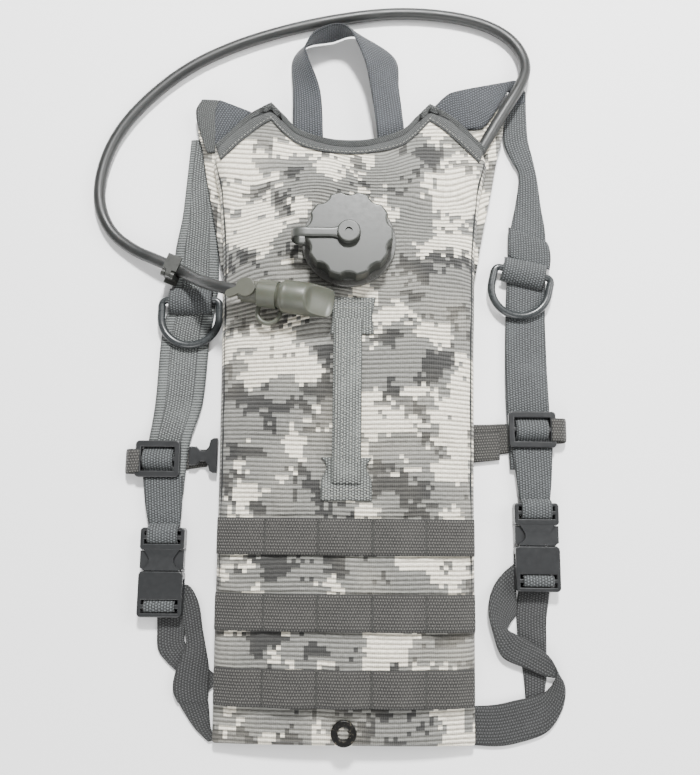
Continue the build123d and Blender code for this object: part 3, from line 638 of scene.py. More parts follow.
def front_shell():
    """The front panel before its cloth settles: a domed face, a round rim and a side wall."""
    rim_r = 8.0
    cloth_gap = 1.2
    wall_steps = 4
    columns, rows = 57, 125
    plan = plan_grid(FRONT_TOP, FRONT_SIDE, columns, rows)
    x, y = plan[:, :, 0], plan[:, :, 1]
    inside = edge_distance(plan)
    top = dome(x, y) - cloth_gap
    round_r = np.minimum(rim_r, 0.45 * (top - BACK_THICK))
    vertices = np.dstack([x, y, top - rim_drop(inside, round_r)]).reshape(-1, 3)
    flat = plan.reshape(-1, 2).copy()
    faces = grid_faces(rows, columns)
    ring = rim_ring(rows, columns)
    rim = vertices[ring]
    centre = np.array([0, -30.0])
    away = rim[:, :2] - centre
    away /= np.linalg.norm(away, axis=1, keepdims=True)
    previous = ring
    for step in range(1, wall_steps + 1):
        share = step / wall_steps
        lowered = rim.copy()
        lowered[:, 2] = rim[:, 2] + (BACK_THICK + 0.3 - rim[:, 2]) * share
        start = len(vertices)
        reach = (rim[:, 2] - lowered[:, 2])[:, None]
        vertices = np.vstack([vertices, lowered])
        flat = np.vstack([flat, rim[:, :2] + away * reach])
        current = list(range(start, start + len(ring)))
        for k in range(len(ring)):
            after = (k + 1) % len(ring)
            faces.append((previous[after], previous[k], current[k], current[after]))
        previous = current
    piece = make_mesh("front_panel_fabric", vertices * MM, faces, CAMO, {"fabric": flat * MM})
    if sum(p.normal.z * p.area for p in piece.data.polygons) < 0:
        piece.data.flip_normals()
    held = np.zeros(len(vertices))
    held[inside.size:] = 1
    held[:inside.size] = np.clip(1 - (inside.ravel() - 2) / 5, 0, 1)
    return piece, held


def held_by_sewing(vertices, held):
    """Adds to held the places where the cloth is sewn or clamped down."""
    x, y = vertices[:, 0], vertices[:, 1]
    clamp = np.hypot(x - FILLER[0], y - FILLER[1]) < FLANGE_R + 3
    held = np.where(clamp, 1.0, held)
    for row in LOAD_ROWS:
        for tack in TACK_X + (-88.0, 88.0):
            sewn = (np.abs(x - tack) < 3) & (np.abs(y - row) < ROW_HALF + 1)
            held = np.where(sewn, 1.0, held)
    strap_line = (np.abs(x) < 16) & (((y > 37) & (y < 68)) | ((y > -82) & (y < -48)))
    return np.where(strap_line, 1.0, held)


def settle_cloth(piece, held):
    """Lets the front panel's cloth settle, a little larger than its shape, and keeps the result."""
    frames = 24
    looser = -0.012
    push = 1.4
    most_move = 3.0 * MM
    most_sink = 0.2 * MM
    start = np.array([v.co for v in piece.data.vertices])
    group = piece.vertex_groups.new(name="sewn")
    for index, weight in enumerate(held):
        if weight > 0:
            group.add([index], float(weight), "REPLACE")
    cloth = piece.modifiers.new("cloth", "CLOTH")
    give(
        cloth.settings, quality=6, mass=0.25, tension_stiffness=25, compression_stiffness=25,
        shear_stiffness=12, bending_stiffness=0.35, vertex_group_mass="sewn", pin_stiffness=4,
        shrink_min=looser, shrink_max=looser, use_pressure=True, uniform_pressure_force=push,
    )
    cloth.settings.effector_weights.gravity = 0
    cloth.collision_settings.use_self_collision = False
    give(cloth.point_cache, frame_start=1, frame_end=frames)
    scene = bpy.context.scene
    for number in range(1, frames + 1):
        scene.frame_set(number)
    settled = piece.evaluated_get(bpy.context.evaluated_depsgraph_get())
    place = np.array([v.co for v in settled.data.vertices])
    move = place - start
    size = np.linalg.norm(move, axis=1, keepdims=True)
    move *= np.minimum(1, most_move / np.maximum(size, 1e-9))
    normals = np.array([v.normal for v in piece.data.vertices])
    sunk = np.minimum(0, np.sum(move * normals, axis=1, keepdims=True) + most_sink)
    move -= sunk * normals
    piece.modifiers.remove(cloth)
    piece.data.vertices.foreach_set("co", (start + move).ravel())
    scene.frame_set(1)


def crease(piece):
    """Small creases that the settled cloth keeps: soft unevenness all over and puckers at the rows."""
    for v in piece.data.vertices:
        x, y, z = v.co / MM
        if z < BACK_THICK + 6:
            continue
        wide = noise.noise(Vector((x / 46, y / 17, 1.7)))
        small = noise.noise(Vector((x / 21, y / 9, 5.1)))
        near_row = min(abs(y - row) for row in LOAD_ROWS)
        pucker = max(0.0, 1 - abs(near_row - ROW_HALF - 5) / 9)
        fold = noise.noise(Vector((x / 13, y / 30, 9.3)))
        v.co.z += (0.7 * wide + 0.35 * small + 0.8 * pucker * fold) * MM


def bake(piece, kind, **settings):
    """Keeps what a modifier makes of a piece as the piece's own mesh."""
    modifier = piece.modifiers.new("shape", kind)
    give(modifier, **settings)
    made = piece.evaluated_get(bpy.context.evaluated_depsgraph_get())
    mesh = bpy.data.meshes.new_from_object(made)
    piece.modifiers.remove(modifier)
    piece.data = mesh
    mesh.shade_smooth()


def cut_round(piece, centre, radius):
    """Removes the faces above z 20 within radius of a plan point."""
    work = bmesh.new()
    work.from_mesh(piece.data)
    inside = []
    for face in work.faces:
        middle = face.calc_center_median() / MM
        if middle.z > 20 and hypot(middle.x - centre[0], middle.y - centre[1]) < radius:
            inside.append(face)
    bmesh.ops.delete(work, geom=inside, context="FACES")
    work.to_mesh(piece.data)
    work.free()


def make_front_panel():
    piece, held = front_shell()
    rest = np.array([v.co for v in piece.data.vertices]) / MM
    held = held_by_sewing(rest, held)
    settle_cloth(piece, held)
    crease(piece)
    bake(piece, "SUBSURF", levels=1, render_levels=1)
    cut_round(piece, FILLER, 28)
    surface = BVHTree.FromPolygons(
        [v.co.copy() for v in piece.data.vertices], [tuple(p.vertices) for p in piece.data.polygons]
    )
    bake(piece, "SOLIDIFY", thickness=0.0014, offset=-1)
    belongs(piece, "printed_fabric", "front_panel")
    return surface


FACE = make_front_panel()


def face_height(x, y, lift=0.0):
    """Height of the front panel's cloth at a plan point, all in millimetres."""
    hit = FACE.ray_cast(Vector((x * MM, y * MM, 0.1)), Vector((0, 0, -1)))[0]
    if hit is None:
        return float(dome(np.array(x), np.array(y))) + lift
    return hit.z / MM + lift


def on_face(grid, lift):
    """Sets the heights of a plan grid, in metres, to lie on the cloth without dipping into it."""
    for row in grid:
        for point in row:
            x, y = point[0] / MM, point[1] / MM
            spots = [(x, y), (x - 2, y), (x + 2, y), (x, y - 2), (x, y + 2)]
            point[2] = max(face_height(a, b) for a, b in spots) * MM + lift * MM
    return grid


# -------- load webbing
def make_load_rows():
    """Three rows of webbing, tacked at even gaps and standing a little proud between them."""
    reach = 90.5
    columns = 13
    stitches = 30
    edge_gap = 1.2
    tacks = (-91.0, *TACK_X, 91.0)
    for label, row in zip(("upper", "middle", "lower"), LOAD_ROWS):
        ends = uprights([(x, row - ROW_HALF, row + ROW_HALF, 0) for x in (-reach, reach)])
        grid = on_face(strip_between(ends, per_span=90, columns=columns), 1.0)
        heights = grid[:, :, 2].mean(axis=1)
        smooth = np.convolve(np.pad(heights, 4, mode="edge"), np.ones(9) / 9, "valid")
        grid[:, :, 2] = 0.35 * grid[:, :, 2] + 0.65 * smooth[:, None]
        grid[:, :, 2] = np.maximum(grid[:, :, 2], heights[:, None] - 0.4 * MM)
        for line in grid:
            x = line[0, 0] / MM
            left = max(t for t in tacks if t <= x)
            right = min(t for t in tacks if t > x)
            line[:, 2] += 1.1 * MM * sin(pi * (x - left) / (right - left)) ** 0.8
        grid = ripple(grid, 0.5, 35.0, row)
        piece = cloth_strip(f"{label}_load_web", grid, WEB_THICK * MM, LOAD_WEB)
        belongs(piece, "load_webbing", f"{label}_load_webbing")
        spots = []
        for tack in TACK_X:
            line = int(round((tack + reach) / (2 * reach) * (len(grid) - 1)))
            for k in range(stitches):
                across = (ROW_HALF - edge_gap) * (2 * k / (stitches - 1) - 1)
                column = int(round((across / ROW_HALF + 1) / 2 * (columns - 1)))
                z = grid[line, column, 2] + 0.95 * MM
                spots.append(((tack * MM, (row + across) * MM, z), (1, 0.35 * (-1) ** k, 0)))
        stitch_mesh(f"{label}_load_tacks", spots, DARK_THREAD, length=2.6, radius=0.3, slot="load_webbing")


make_load_rows()


# -------- strap down the front
def flat_patch(name, rows, replaced):
    """Webbing sewn flat to the front panel."""
    thick = 1.6
    grid = on_face(strip_between(rungs(rows), per_span=10, columns=15), thick / 2)
    belongs(cloth_strip(name, grid, thick * MM, TAB_WEB), "load_webbing", replaced)


def stitch_line(points, pitch=3.3):
    """Spots for stitches along a line of points in millimetres."""
    lift = np.array((0, 0, 0.2))
    line = np.asarray(points, float) + lift
    run = lengths_along(line)
    count = max(2, int(run[-1] / pitch))
    places = np.linspace(pitch / 2, run[-1] - pitch / 2, count)
    here, ahead = (
        np.array([np.interp(at, run, line[:, axis]) for axis in range(3)]).T for at in (places, places + 0.5)
    )
    return [(a * MM, tuple(b - a)) for a, b in zip(here, ahead)]


def make_front_strap():
    upper = [(39, -13, 19, 0), (52, -11.5, 17.5, 0), (66, -14, 20, 0)]
    flat_patch("upper_tab_web", upper, "upper_strap_tab")
    lower = [(-80, -18, 18, 0), (-66, -17.5, 17.5, 0), (-57, -14, 14, 0), (-50, -18, 18, 0)]
    flat_patch("lower_patch_web", lower, "lower_strap_patch")
    lifts = ((50, 2.2), (40, 3.2), (20, 3.6), (-10, 3.8), (-40, 3.8), (-56, 3.6), (-64, 3.0), (-68, 2.0))
    middle = rungs([(y, -10.2, 10.2, face_height(0, y, lift)) for y, lift in lifts])
    strap("retaining_web", middle, TAB_WEB, "retaining_strap", slot="load_webbing", thick=1.9, uneven=0.6)
    seams = []
    for x, pitch in ((-7.6, 3.3), (7.6, 3.3), (-3.0, 4.2), (3.0, 4.2)):
        line = [(x, y, face_height(0, y, 4.75)) for y in (38, 20, 0, -20, -40, -54)]
        seams += stitch_line(line, pitch)
    for across, places in (((-11, 3, 17), (63, 58, 44)), ((-16, 0, 16), (-77, -72.5))):
        for y in places:
            seams += stitch_line([(x, y, face_height(x, y, 1.9)) for x in across])
    stitch_mesh("front_strap_stitching", seams, THREAD, length=1.9, slot="load_webbing")


make_front_strap()


# -------- binding on the top edges
def bind_edge(name, inner, outer, replaced):
    """Tape over an edge: from its inner line across the rim, and down the pack's wall."""
    inside, rim = (through([(x, y, 0) for x, y in line], 8) for line in (inner, outer))
    away = rim - inside
    away /= np.linalg.norm(away, axis=1, keepdims=True)
    over = 9
    down = 5
    lines = []
    for k in range(over):
        share = k / (over - 1)
        row = inside * (1 - share) + (rim - away * 0.6) * share
        lines.append([(x, y, face_height(x, y, 0.9)) for x, y, _ in row])
    edge = np.array(lines[-1])
    run = lengths_along(edge)
    from_end = np.minimum(run, run[-1] - run)
    depth = 9.0 * np.clip(0.15 + from_end / 9, 0, 1)
    for k in range(1, down + 1):
        share = k / down
        out = away * (1.3 * min(1, share * 2)) * np.clip(from_end / 5, 0, 1)[:, None]
        lines.append(edge + out - np.array((0, 0, 1)) * (depth * share)[:, None])
    grid = np.array(lines).transpose(1, 0, 2) * MM
    piece = cloth_strip(name, grid, 1.3 * MM, BINDING)
    belongs(piece, "binding_tape", replaced)
    seam = inside * 0.86 + rim * 0.14
    spots = stitch_line([(x, y, face_height(x, y, 1.65)) for x, y, _ in seam], pitch=3.0)
    stitch_mesh(name + "_stitching", spots, THREAD, length=1.8, radius=0.24, slot="binding_tape")


def mirrored(points):
    return [(-x, y) for x, y in reversed(points)]


def make_bindings():
    half_in = [(0, 179.5), (20, 181.6), (38, 187.6), (51, 198.5), (62.6, 212.3)]
    half_out = [(0, 191.6), (20, 193.9), (40, 201.8), (51, 213.6), (61.8, 226)]
    inner, outer = (mirrored(half)[:-1] + half for half in (half_in, half_out))
    bind_edge("collar_tape", inner, outer, "collar_binding")
    for side, label in ((-1, "left"), (1, "right")):
        inner = [(side * x, y) for x, y in ((60, 211.5), (72, 203.5), (86, 191), (99, 177.5))]
        outer = [(side * x, y) for x, y in ((61.2, 226), (78, 217.5), (91, 206.5), (104.5, 192.5))]
        bind_edge(f"{label}_shoulder_tape", inner, outer, f"{label}_shoulder_binding")


make_bindings()


# -------- back panel and ears
def make_back_panel():
    """The padded board behind the pack, with the chest strap's groove across it."""
    columns, rows = 45, 95
    plan = plan_grid(BACK_TOP, BACK_SIDE, columns, rows)
    inside = edge_distance(plan)
    x, y = plan[:, :, 0], plan[:, :, 1]
    drop = rim_drop(inside, 3.0)
    groove = 2.4 * (np.abs(y + 34) < 15) * (x > -72)
    buckle_room = 5.6 * (np.abs(y + 34) < 17) * (x <= -56)
    quilt = 0.25 * (1 + np.sin(y * 2 * pi / 46)) * np.clip(inside / 12, 0, 1)
    low = np.maximum(np.maximum(groove, buckle_room), quilt)
    bottom = np.dstack([x, y, low + drop])
    upper = np.dstack([x, y, BACK_THICK - 0.1 - drop * 0.9])
    vertices = np.vstack([upper.reshape(-1, 3), bottom.reshape(-1, 3)])
    flat = np.vstack([plan.reshape(-1, 2)] * 2) * MM
    faces = slab_faces(rows, columns)
    piece = make_mesh("back_panel_fabric", vertices * MM, faces, BACK_MESH, {"fabric": flat})
    belongs(piece, "back_fabric", "back_panel")


make_back_panel()


def make_ears():
    half = [
        ((79, 221, 11.5), (104, 235, 10.0)), ((91, 209, 11.5), (117, 232, 9.6)),
        ((102, 196, 11.5), (121, 213, 9.4)), ((105, 180, 11.0), (116.5, 193, 9.3)),
        ((101, 160, 10.6), (111.5, 166, 9.2)), ((98, 130, 10.2), (104.5, 132, 9.1)),
        ((95.5, 96, 9.6), (97.8, 95, 9.0)),
    ]
    for side, label in ((-1, "left"), (1, "right")):
        pairs = [[(side * x, y, z) for x, y, z in pair] for pair in half]
        strap(
            f"{label}_ear_fabric", pairs, CAMO, f"{label}_shoulder_ear",
            slot="printed_fabric", thick=1.4, uneven=1.2, planar=True,
        )


make_ears()


# -------- haul handle
def make_handle():
    """One loop of webbing that twists to stand on edge at its crest."""
    low = [
        (-46, 196, 12), (-45.3, 208.9, 18), (-46.3, 245.9, 10), (-47.8, 274.2, 4),
        (-37.2, 289, 2), (-16, 293.7, 2), (5.3, 298.5, 2), (34.8, 278.6, 4),
        (38.5, 246.8, 10), (41.9, 209.8, 18), (43, 196, 12),
    ]
    high = [
        (-22, 192, 12), (-21.4, 205, 18), (-24.2, 240.3, 20), (-34, 266.1, 24),
        (-35.6, 275.1, 26), (-26.4, 288.4, 27), (-5.1, 292.1, 27), (9.3, 268.3, 24),
        (15.9, 240.7, 20), (20.8, 206.2, 18), (21, 192, 12),
    ]
    strap("haul_handle_web", list(zip(low, high)), HANDLE_WEB, "haul_handle", uneven=0.3)


make_handle()


# -------- harness straps
def make_shoulder_straps():
    left = [
        ((-127, 205), (-108, 205)), ((-129, 170), (-110, 170)), ((-131.2, 139), (-104, 139)),
        ((-135.2, 112.5), (-101.5, 112)), ((-136.6, 81), (-101, 81)), ((-142.6, 42.7), (-105.7, 43)),
        ((-144.6, -5.3), (-108.8, -5)), ((-148, -36), (-117, -36)), ((-150, -60), (-119.5, -60)),
        ((-147.6, -76), (-120.5, -76)),
    ]
    left = [[(x, y, 3.2) for x, y in pair] for pair in left]
    strap("left_shoulder_web", left, BOUND_WEB, "left_shoulder_strap", thick=2.2, crown=0.4)
    right = [
        ((124.5, 236, 3.4), (140.9, 249, 5.2)), ((122.4, 222, 3.2), (140.8, 228, 4.6)),
        ((122.6, 205, 3.2), (141.6, 208, 4.2)), ((128.6, 190, 3.2), (145, 191.8, 4)),
        ((133.8, 178, 3.2), (148, 175, 3.8)), ((130.8, 154.5, 3.2), (150.6, 150, 3.4)),
        ((126.5, 134, 3.2), (153.2, 131, 3.2)), ((123.6, 110, 3.2), (153, 106, 3.2)),
        ((121, 67, 3.2), (151, 66, 3.2)), ((119.6, 27, 3.2), (151, 27.6, 3.2)),
        ((119.4, -3, 3.2), (152, -8, 3.2)), ((120.6, -38, 3.2), (152.8, -38, 3.2)),
        ((121.4, -55, 3.2), (152.5, -55, 3.2)),
    ]
    strap("right_shoulder_web", right, STRAP_WEB, "right_shoulder_strap", thick=2.2, crown=0.3)
    seams = []
    face = 4.5
    for first, last, places in ((-147, -122.5, (-67.5, -71)), (123, 150.5, (-40.5, -44))):
        for y in places:
            seams += stitch_line([(first, y, face), (last, y, face)])
    stitch_mesh("strap_end_stitching", seams, THREAD, length=2, radius=0.24)


make_shoulder_straps()


def make_anchors():
    left = [
        ((-110, 199, 11.5), (-104.5, 196.5, 11.5)), ((-109, 215, 12), (-95, 206, 12.6)),
        ((-107, 229, 12), (-84, 218, 13)), ((-104.5, 235.5, 11.4), (-78, 224.5, 12.4)),
    ]
    strap("left_anchor_web", left, HANDLE_WEB, "left_strap_anchor", uneven=0.4)
    right = [
        ((80, 213, 11.6), (63.5, 228, 12)), ((92, 212, 12.2), (76, 241, 12)),
        ((104.5, 213.5, 12.6), (85, 245, 12)),
        ((113, 224, 12.6), (103, 249.5, 11.4)), ((119, 235.5, 11.4), (123.5, 254.5, 9.8)),
        ((124, 245, 9.2), (132, 256.8, 8.2)), ((126.6, 247, 7.4), (136.5, 254.6, 6.8)),
        ((125.8, 243, 5.9), (139.6, 249.6, 6.1)), ((124.2, 232, 5), (140.6, 240, 5.6)),
    ]
    fold = [
        ((-104.5, 235, 11.6), (-118.6, 236.4, 10.6)), ((-105.5, 224, 12.2), (-123, 227, 10.4)),
        ((-106, 212, 12.8), (-120.6, 214, 10.6)), ((-106.5, 200, 12.6), (-116.4, 201, 10.8)),
        ((-106.2, 191, 11.8), (-112.5, 191, 10.6)),
    ]
    strap("left_anchor_fold", fold, BINDING, thick=1.4, uneven=1.0)
    strap("right_anchor_web", right, HANDLE_WEB, "right_strap_anchor", uneven=0.3)


make_anchors()


# -------- lower straps
def bar_wrap(x, y, half_width, half_run, low, high):
    """Pairs for webbing that goes once round a bar that runs along X."""
    middle = (low + high) / 2
    rise = (high - low) / 2
    rows = []
    for k in range(13):
        turn = 2 * pi * k / 12
        flat = abs(cos(turn)) ** 0.6 * (1 if cos(turn) > 0 else -1)
        tall = abs(sin(turn)) ** 0.6 * (1 if sin(turn) > 0 else -1)
        rows.append((y + half_run * flat, x - half_width, x + half_width, middle + rise * tall))
    return rungs(rows)


def make_lower_straps():
    left = [
        ((-124, -148, 1.1), (-122, -141, 1.1)), ((-120.5, -149, 1.4), (-113, -141.8, 1.6)),
        ((-118.6, -156, 2.6), (-105.5, -154, 3.4)), ((-114.6, -173, 3.6), (-101.8, -171, 5)),
        ((-113.8, -184, 4.4), (-99, -183.5, 5)), ((-119.8, -199.9, 4.8), (-96.2, -199, 3.4)),
        ((-121.6, -212, 4.2), (-96, -210.5, 2.6)), ((-118.6, -220, 3.8), (-96.4, -219.6, 2.4)),
        ((-116.8, -222.6, 2.4), (-96, -222.6, 1.8)), ((-113.6, -228, 1.7), (-95.4, -227, 1.5)),
        ((-105, -239.5, 1.4), (-94, -238, 1.4)), ((-95.5, -248, 1.4), (-90.5, -247, 1.4)),
    ]
    strap("left_lower_web", left, SHADED_LOWER_WEB, "left_lower_strap", uneven=0.3)
    tail = [
        ((-135.6, -160, 2.2), (-114.5, -160, 2.2)), ((-135.2, -170, 1.8), (-114.9, -170, 1.8)),
        ((-134, -185.6, 1.6), (-114.8, -180, 1.8)), ((-127, -194.8, 1.5), (-111, -187.5, 1.8)),
        ((-119, -201.5, 1.4), (-103.5, -194, 1.6)), ((-108, -211, 1.2), (-92.5, -203, 1.6)),
        ((-100, -217, 1.2), (-90.5, -209, 1.4)),
    ]
    strap("left_lower_tail", tail, SHADED_LOWER_WEB, uneven=0.2)
    right = [
        ((91, -222, 2.8), (91, -248, 2.8)), ((107, -221, 2.8), (107, -248.6, 2.8)),
        ((121, -218, 2.8), (122, -246.4, 2.8)), ((138.6, -213.9, 2.9), (143.1, -238.9, 2.9)),
        ((145.9, -208.7, 3.6), (154.2, -223.8, 3.2)), ((149.6, -201, 6.2), (156.8, -209.6, 4)),
        ((149.4, -195, 7.4), (152.6, -203, 4.6)), ((146.4, -188.4, 6.6), (142.6, -201, 4.8)),
        ((138.6, -181.4, 5.4), (127, -195.2, 4.8)), ((127.3, -174.8, 5), (112, -188, 5)),
        ((119.2, -171, 5), (105.8, -172, 6.2)), ((116.6, -169.6, 4.6), (102.8, -158, 6.8)),
        ((117.4, -167.4, 3.4), (104, -147, 6)), ((119.8, -164.2, 2.4), (108.6, -137, 4.6)),
        ((122.2, -161.6, 1.6), (115.8, -129, 2.8)), ((123.8, -159.8, 1.3), (123.8, -122.8, 1.5)),
    ]
    strap("right_lower_web", right, SHADED_LOWER_WEB, "right_lower_strap", uneven=0.3)
    drop = rungs([
        (-134, 127.6, 149.6, 0.95), (-150, 124.5, 147.5, 0.95), (-163, 123.8, 145.5, 0.95),
        (-182, 125, 145, 0.95), (-200, 127.6, 144.6, 0.95),
    ])
    drop.append(((129, -217.5, 0.95), (142, -217, 0.95)))
    strap("right_lower_drop", drop, SHADED_LOWER_WEB, uneven=0.2, thick=1.4)
    for label, x, mouth in (("left", -132.6, -131.0), ("right", 138.6, -110.5)):
        wrap = bar_wrap(x, mouth - 24.5, half_width=11, half_run=3.4, low=1.1, high=12.4)
        strap(f"{label}_socket_wrap", wrap, STRAP_WEB, uneven=0.1, thick=1.6)


make_lower_straps()


# -------- strap tabs at the buckles
def make_strap_tabs():
    """Webbing from each adjuster to its buckle, folded round the bar of the plug."""
    tabs = {
        "left": (-132.6, -131.0, [
            (-62, -150.5, -121, 6.0), (-84, -147.5, -120.5, 5.8), (-100, -143.6, -121.6, 5.9),
        ]),
        "right": (138.6, -110.5, [
            (-38, 122.5, 152.9, 6.0), (-62, 125.5, 151.5, 5.8), (-79.5, 127.6, 149.6, 5.9),
        ]),
    }
    half = 11
    fold = ((33, 8.5), (30, 12.2), (25, 12.6), (21, 11), (20, 7), (22, 1.6), (30, 1.2))
    for label, (x, mouth, rows) in tabs.items():
        rows = rows + [(mouth + up, x - half, x + half, z) for up, z in fold]
        grid = strip_between(rungs(rows), per_span=6)
        piece = cloth_strip(f"{label}_tab_web", grid, 1.6 * MM, STRAP_WEB)
        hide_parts(f"{label}_strap_tab")
        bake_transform(piece)


make_strap_tabs()


# -------- keepers and chest strap
def make_keepers():
    """Rolls of webbing that hold each D-ring's bar, with a sewn flap above the right one."""
    half = 16.5
    for label, x, y, turn in (("left", -120.6, 71.5, 0.0), ("right", 134.5, 96.5, -13.0)):
        cosine, sine = cos(radians(turn)), sin(radians(turn))
        lines = []
        for k in range(21):
            angle = pi * k / 20
            run = 7.6 * cos(angle) * (1 + 0.22 * abs(cos(angle)) ** 3)
            rise = 4.7 + 7.2 * sin(angle) ** 0.8
            lines.append([
                (x + w * cosine - run * sine, y + w * sine + run * cosine, rise) for w in (-half, half)
            ])
        strap(f"{label}_keeper_web", lines, STRAP_WEB, f"{label}_d_ring_keeper", thick=1.6, uneven=0.2)
    flap = [
        ((124.4, 134, 4.8), (154, 122, 4.8)), ((124, 129, 5.4), (155.6, 117.6, 5.4)),
        ((123.6, 119, 5.6), (156.4, 108.6, 5.6)), ((124, 110, 5.2), (155.4, 99.6, 5.2)),
    ]
    strap("right_keeper_flap", flap, STRAP_WEB, thick=1.5, uneven=0.3)


make_keepers()


def make_adjuster_wraps():
    """Webbing over the bar of each adjuster, seen through its window."""
    line = ((8.6, 4.9), (7, 6.4), (4.4, 9.2), (1.6, 10.5), (-1.6, 10.5), (-4.4, 9.2), (-7, 6.4), (-8.6, 4.9))
    for label, x, y, half in (("left", -139.7, -50, 11.2), ("right", 137.7, -25.4, 12)):
        pairs = rungs([(y + along, x - half, x + half, z) for along, z in line])
        strap(f"{label}_adjuster_wrap", pairs, STRAP_WEB, thick=1.4, uneven=0.2)


make_adjuster_wraps()


def make_chest_strap():
    """The strap across the back and the ends of it that are folded round both adjusters."""
    for name, thick, rows, *replaced in (
        ("chest_loop_web", 1.4, [
            (-163, -60, -43, 1.0), (-140, -60, -43, 1.0), (-104, -55, -42, 1.0),
        ], "chest_strap_loop"),
        ("chest_loop_wrap", 1.6, [
            (-158, -61, -43, 1.4), (-162.4, -61, -43, 3.0), (-163.2, -61, -43, 5.5),
            (-160, -61, -43, 9.4), (-153, -60, -43, 9.8),
        ]),
        ("chest_web", 1.5, [
            (-62, -46.5, -21.5, 1.1), (40, -46.5, -21.5, 1.1), (110, -44, -21, 1.1), (158, -35, -17, 1.1),
        ], "chest_strap"),
        ("chest_outer_wrap", 1.6, [
            (156, -35, -17, 1.4), (161.5, -35, -17, 2.4), (163, -34, -17, 5.2),
            (160, -34, -17, 9.2), (152, -34, -17, 9.8),
        ]),
        ("chest_second_layer", 1.6, [(94, -50, -28, 3.2), (114, -48, -27, 3.0)]),
    ):
        strap(name, uprights(rows), LOAD_WEB, *replaced, thick=thick, uneven=0.1)


make_chest_strap()


# -------- bite valve
def turned(name, rings, material, ceiling):
    """A closed tube about the valve's axis. Each ring is height, half widths and offset up."""
    segments = 48
    side = VALVE_AXIS.cross(VALVE_UP).normalized()
    rise = side.cross(VALVE_AXIS).normalized()
    line = through(rings, 5)
    vertices = []
    for at, tall, wide, shift in line:
        for k in range(segments):
            turn = 2 * pi * k / segments
            across = wide * sin(turn)
            high = min(shift + tall * cos(turn), ceiling(at, across))
            vertices.append((VALVE_INLET + VALVE_AXIS * at + rise * high + side * across) * MM)
    return make_mesh(name, vertices, tube_faces(len(line), segments), material)


def lip_scoop(at, across):
    """Ceiling of the hollow cut across the bite valve's tip, with a raised lip round it."""
    if at < 50.5:
        return 20.0
    depth = 11.5 - 2.3 * (at - 50.5) ** 0.62 + 0.022 * across**2
    lip = 1.6 * max(0.0, (at - 64) / 4) ** 1.5
    return depth - 4.2 * sin(min(1.0, (at - 50.5) / 3) * pi / 2) + lip


def make_bite_valve():
    rings = [
        (20, 7.2, 7.2, 0), (20.3, 8.2, 8.2, 0), (22, 8.6, 8.6, 0), (28, 8.6, 8.6, 0), (30, 9.3, 9.3, 0),
        (32.5, 11.4, 11.4, 0), (34, 11.9, 11.9, 0), (36, 11.8, 11.8, 0), (40, 11.9, 11.9, 0),
        (45, 11.9, 11.9, 0), (50, 11.6, 11.8, -0.2), (54, 11, 11.6, -0.8), (58, 10.2, 11.2, -1.6),
        (62, 9.2, 10.7, -2.4),
        (65, 7.8, 10.2, -3), (67.2, 6, 9.2, -3.2), (68.2, 3.6, 6.6, -3.3), (68.3, 0.8, 2.5, -3.3),
    ]
    piece = turned("bite_valve_rubber", rings, BITE_RUBBER, lip_scoop)
    return belongs(piece, "bite_rubber", "bite_valve")


bite = make_bite_valve()

# -------- cap tether
def lathe(name, centre, profile, material, segments=72):
    """A ring turned about an upright axis. The profile is a closed line of radius and height."""
    vertices = []
    count = len(profile)
    for k in range(segments):
        turn = 2 * pi * k / segments
        for radius, height in profile:
            vertices.append((centre[0] + radius * cos(turn), centre[1] + radius * sin(turn), height))
    faces = []
    for k in range(segments):
        here, ahead = k * count, (k + 1) % segments * count
        for low in range(count):
            high = (low + 1) % count
            faces.append((here + low, ahead + low, ahead + high, here + high))
    return make_mesh(name, np.array(vertices) * MM, faces, material)


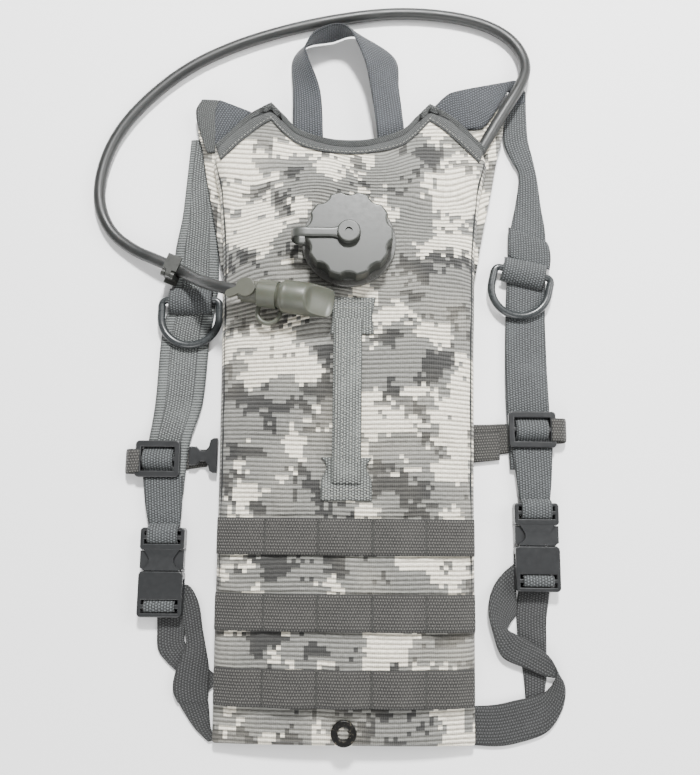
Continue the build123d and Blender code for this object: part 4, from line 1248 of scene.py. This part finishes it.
def make_cap_tether():
    """The strap from the ring round the filler's neck, over the cap's rim to its button."""
    x, y = FILLER
    line = [
        (-27.5, 41.9), (-33, 41.9), (-37.4, 42.6), (-40, 45.4), (-40.9, 50), (-40.2, 55), (-37.6, 58.4),
        (-32.5, 59.5), (-24, 59.3), (-15, 59.2), (-8.2, 59.1),
    ]
    pairs = [((x + a, y + 3.4, b), (x + a, y - 3.4, b)) for a, b in line]
    pairs[-2] = ((x - 12, y + 3.4, 59.2), (x - 12, y - 3.4, 59.2))
    pairs[-1] = ((x - 7.4, y + 4.6, 59.1), (x - 7.4, y - 4.6, 59.1))
    grid = strip_between(pairs, columns=9)
    strip = cloth_strip("cap_tether_strap", grid, 1.5 * MM, CAP_PLASTIC)
    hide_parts("cap_tether")
    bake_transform(strip)
    eye = [(5.2, 58.4), (8, 58.4), (8.5, 58.9), (8.5, 59.5), (8, 59.9), (5.2, 59.9)]
    belongs(lathe("tether_eye", FILLER, eye, CAP_PLASTIC), "cap_plastic", body="cap_carrier")
    root = [(26.6, 41.2), (29.6, 41.2), (30, 41.6), (30, 42.2), (29.6, 42.5), (26.6, 42.5)]
    belongs(lathe("tether_root", FILLER, root, CAP_PLASTIC), "cap_plastic")


make_cap_tether()

# -------- materials of carried-over parts
BUCKLE_PARTS = ("adjuster", "buckle_socket", "buckle_plug", "buckle_left_arm", "buckle_right_arm")
CARRIED = (
    (CAP_PLASTIC, "cap", "tether_button"),
    (FILLER_PLASTIC, "filler_flange", "filler_neck"),
    (GROMMET_METAL, "grommet_eyelet", "grommet_washer"),
    (FOAM, "cap_gasket", "foam_liner"),
    (BAG_FILM, "reservoir_bag"),
    (HOSE_RUBBER, "inner_hose"),
    (VALVE_PLASTIC, "hose_elbow", "valve_body", "valve_lever"),
    (BITE_RUBBER, "bite_valve_ring"),
    (CLIP_PLASTIC, "hose_clip_base", "hose_clip_jaw"),
    (RING_PLASTIC, "left_d_ring", "right_d_ring"),
    (BUCKLE_PLASTIC, "chest_strap_end", "chest_strap_socket"),
    (BUCKLE_PLASTIC, *[f"{side}_{part}" for side in ("left", "right") for part in BUCKLE_PARTS]),
)
for finish, *names in CARRIED:
    for name in names:
        for material_slot in nodes[name].material_slots:
            material_slot.material = finish
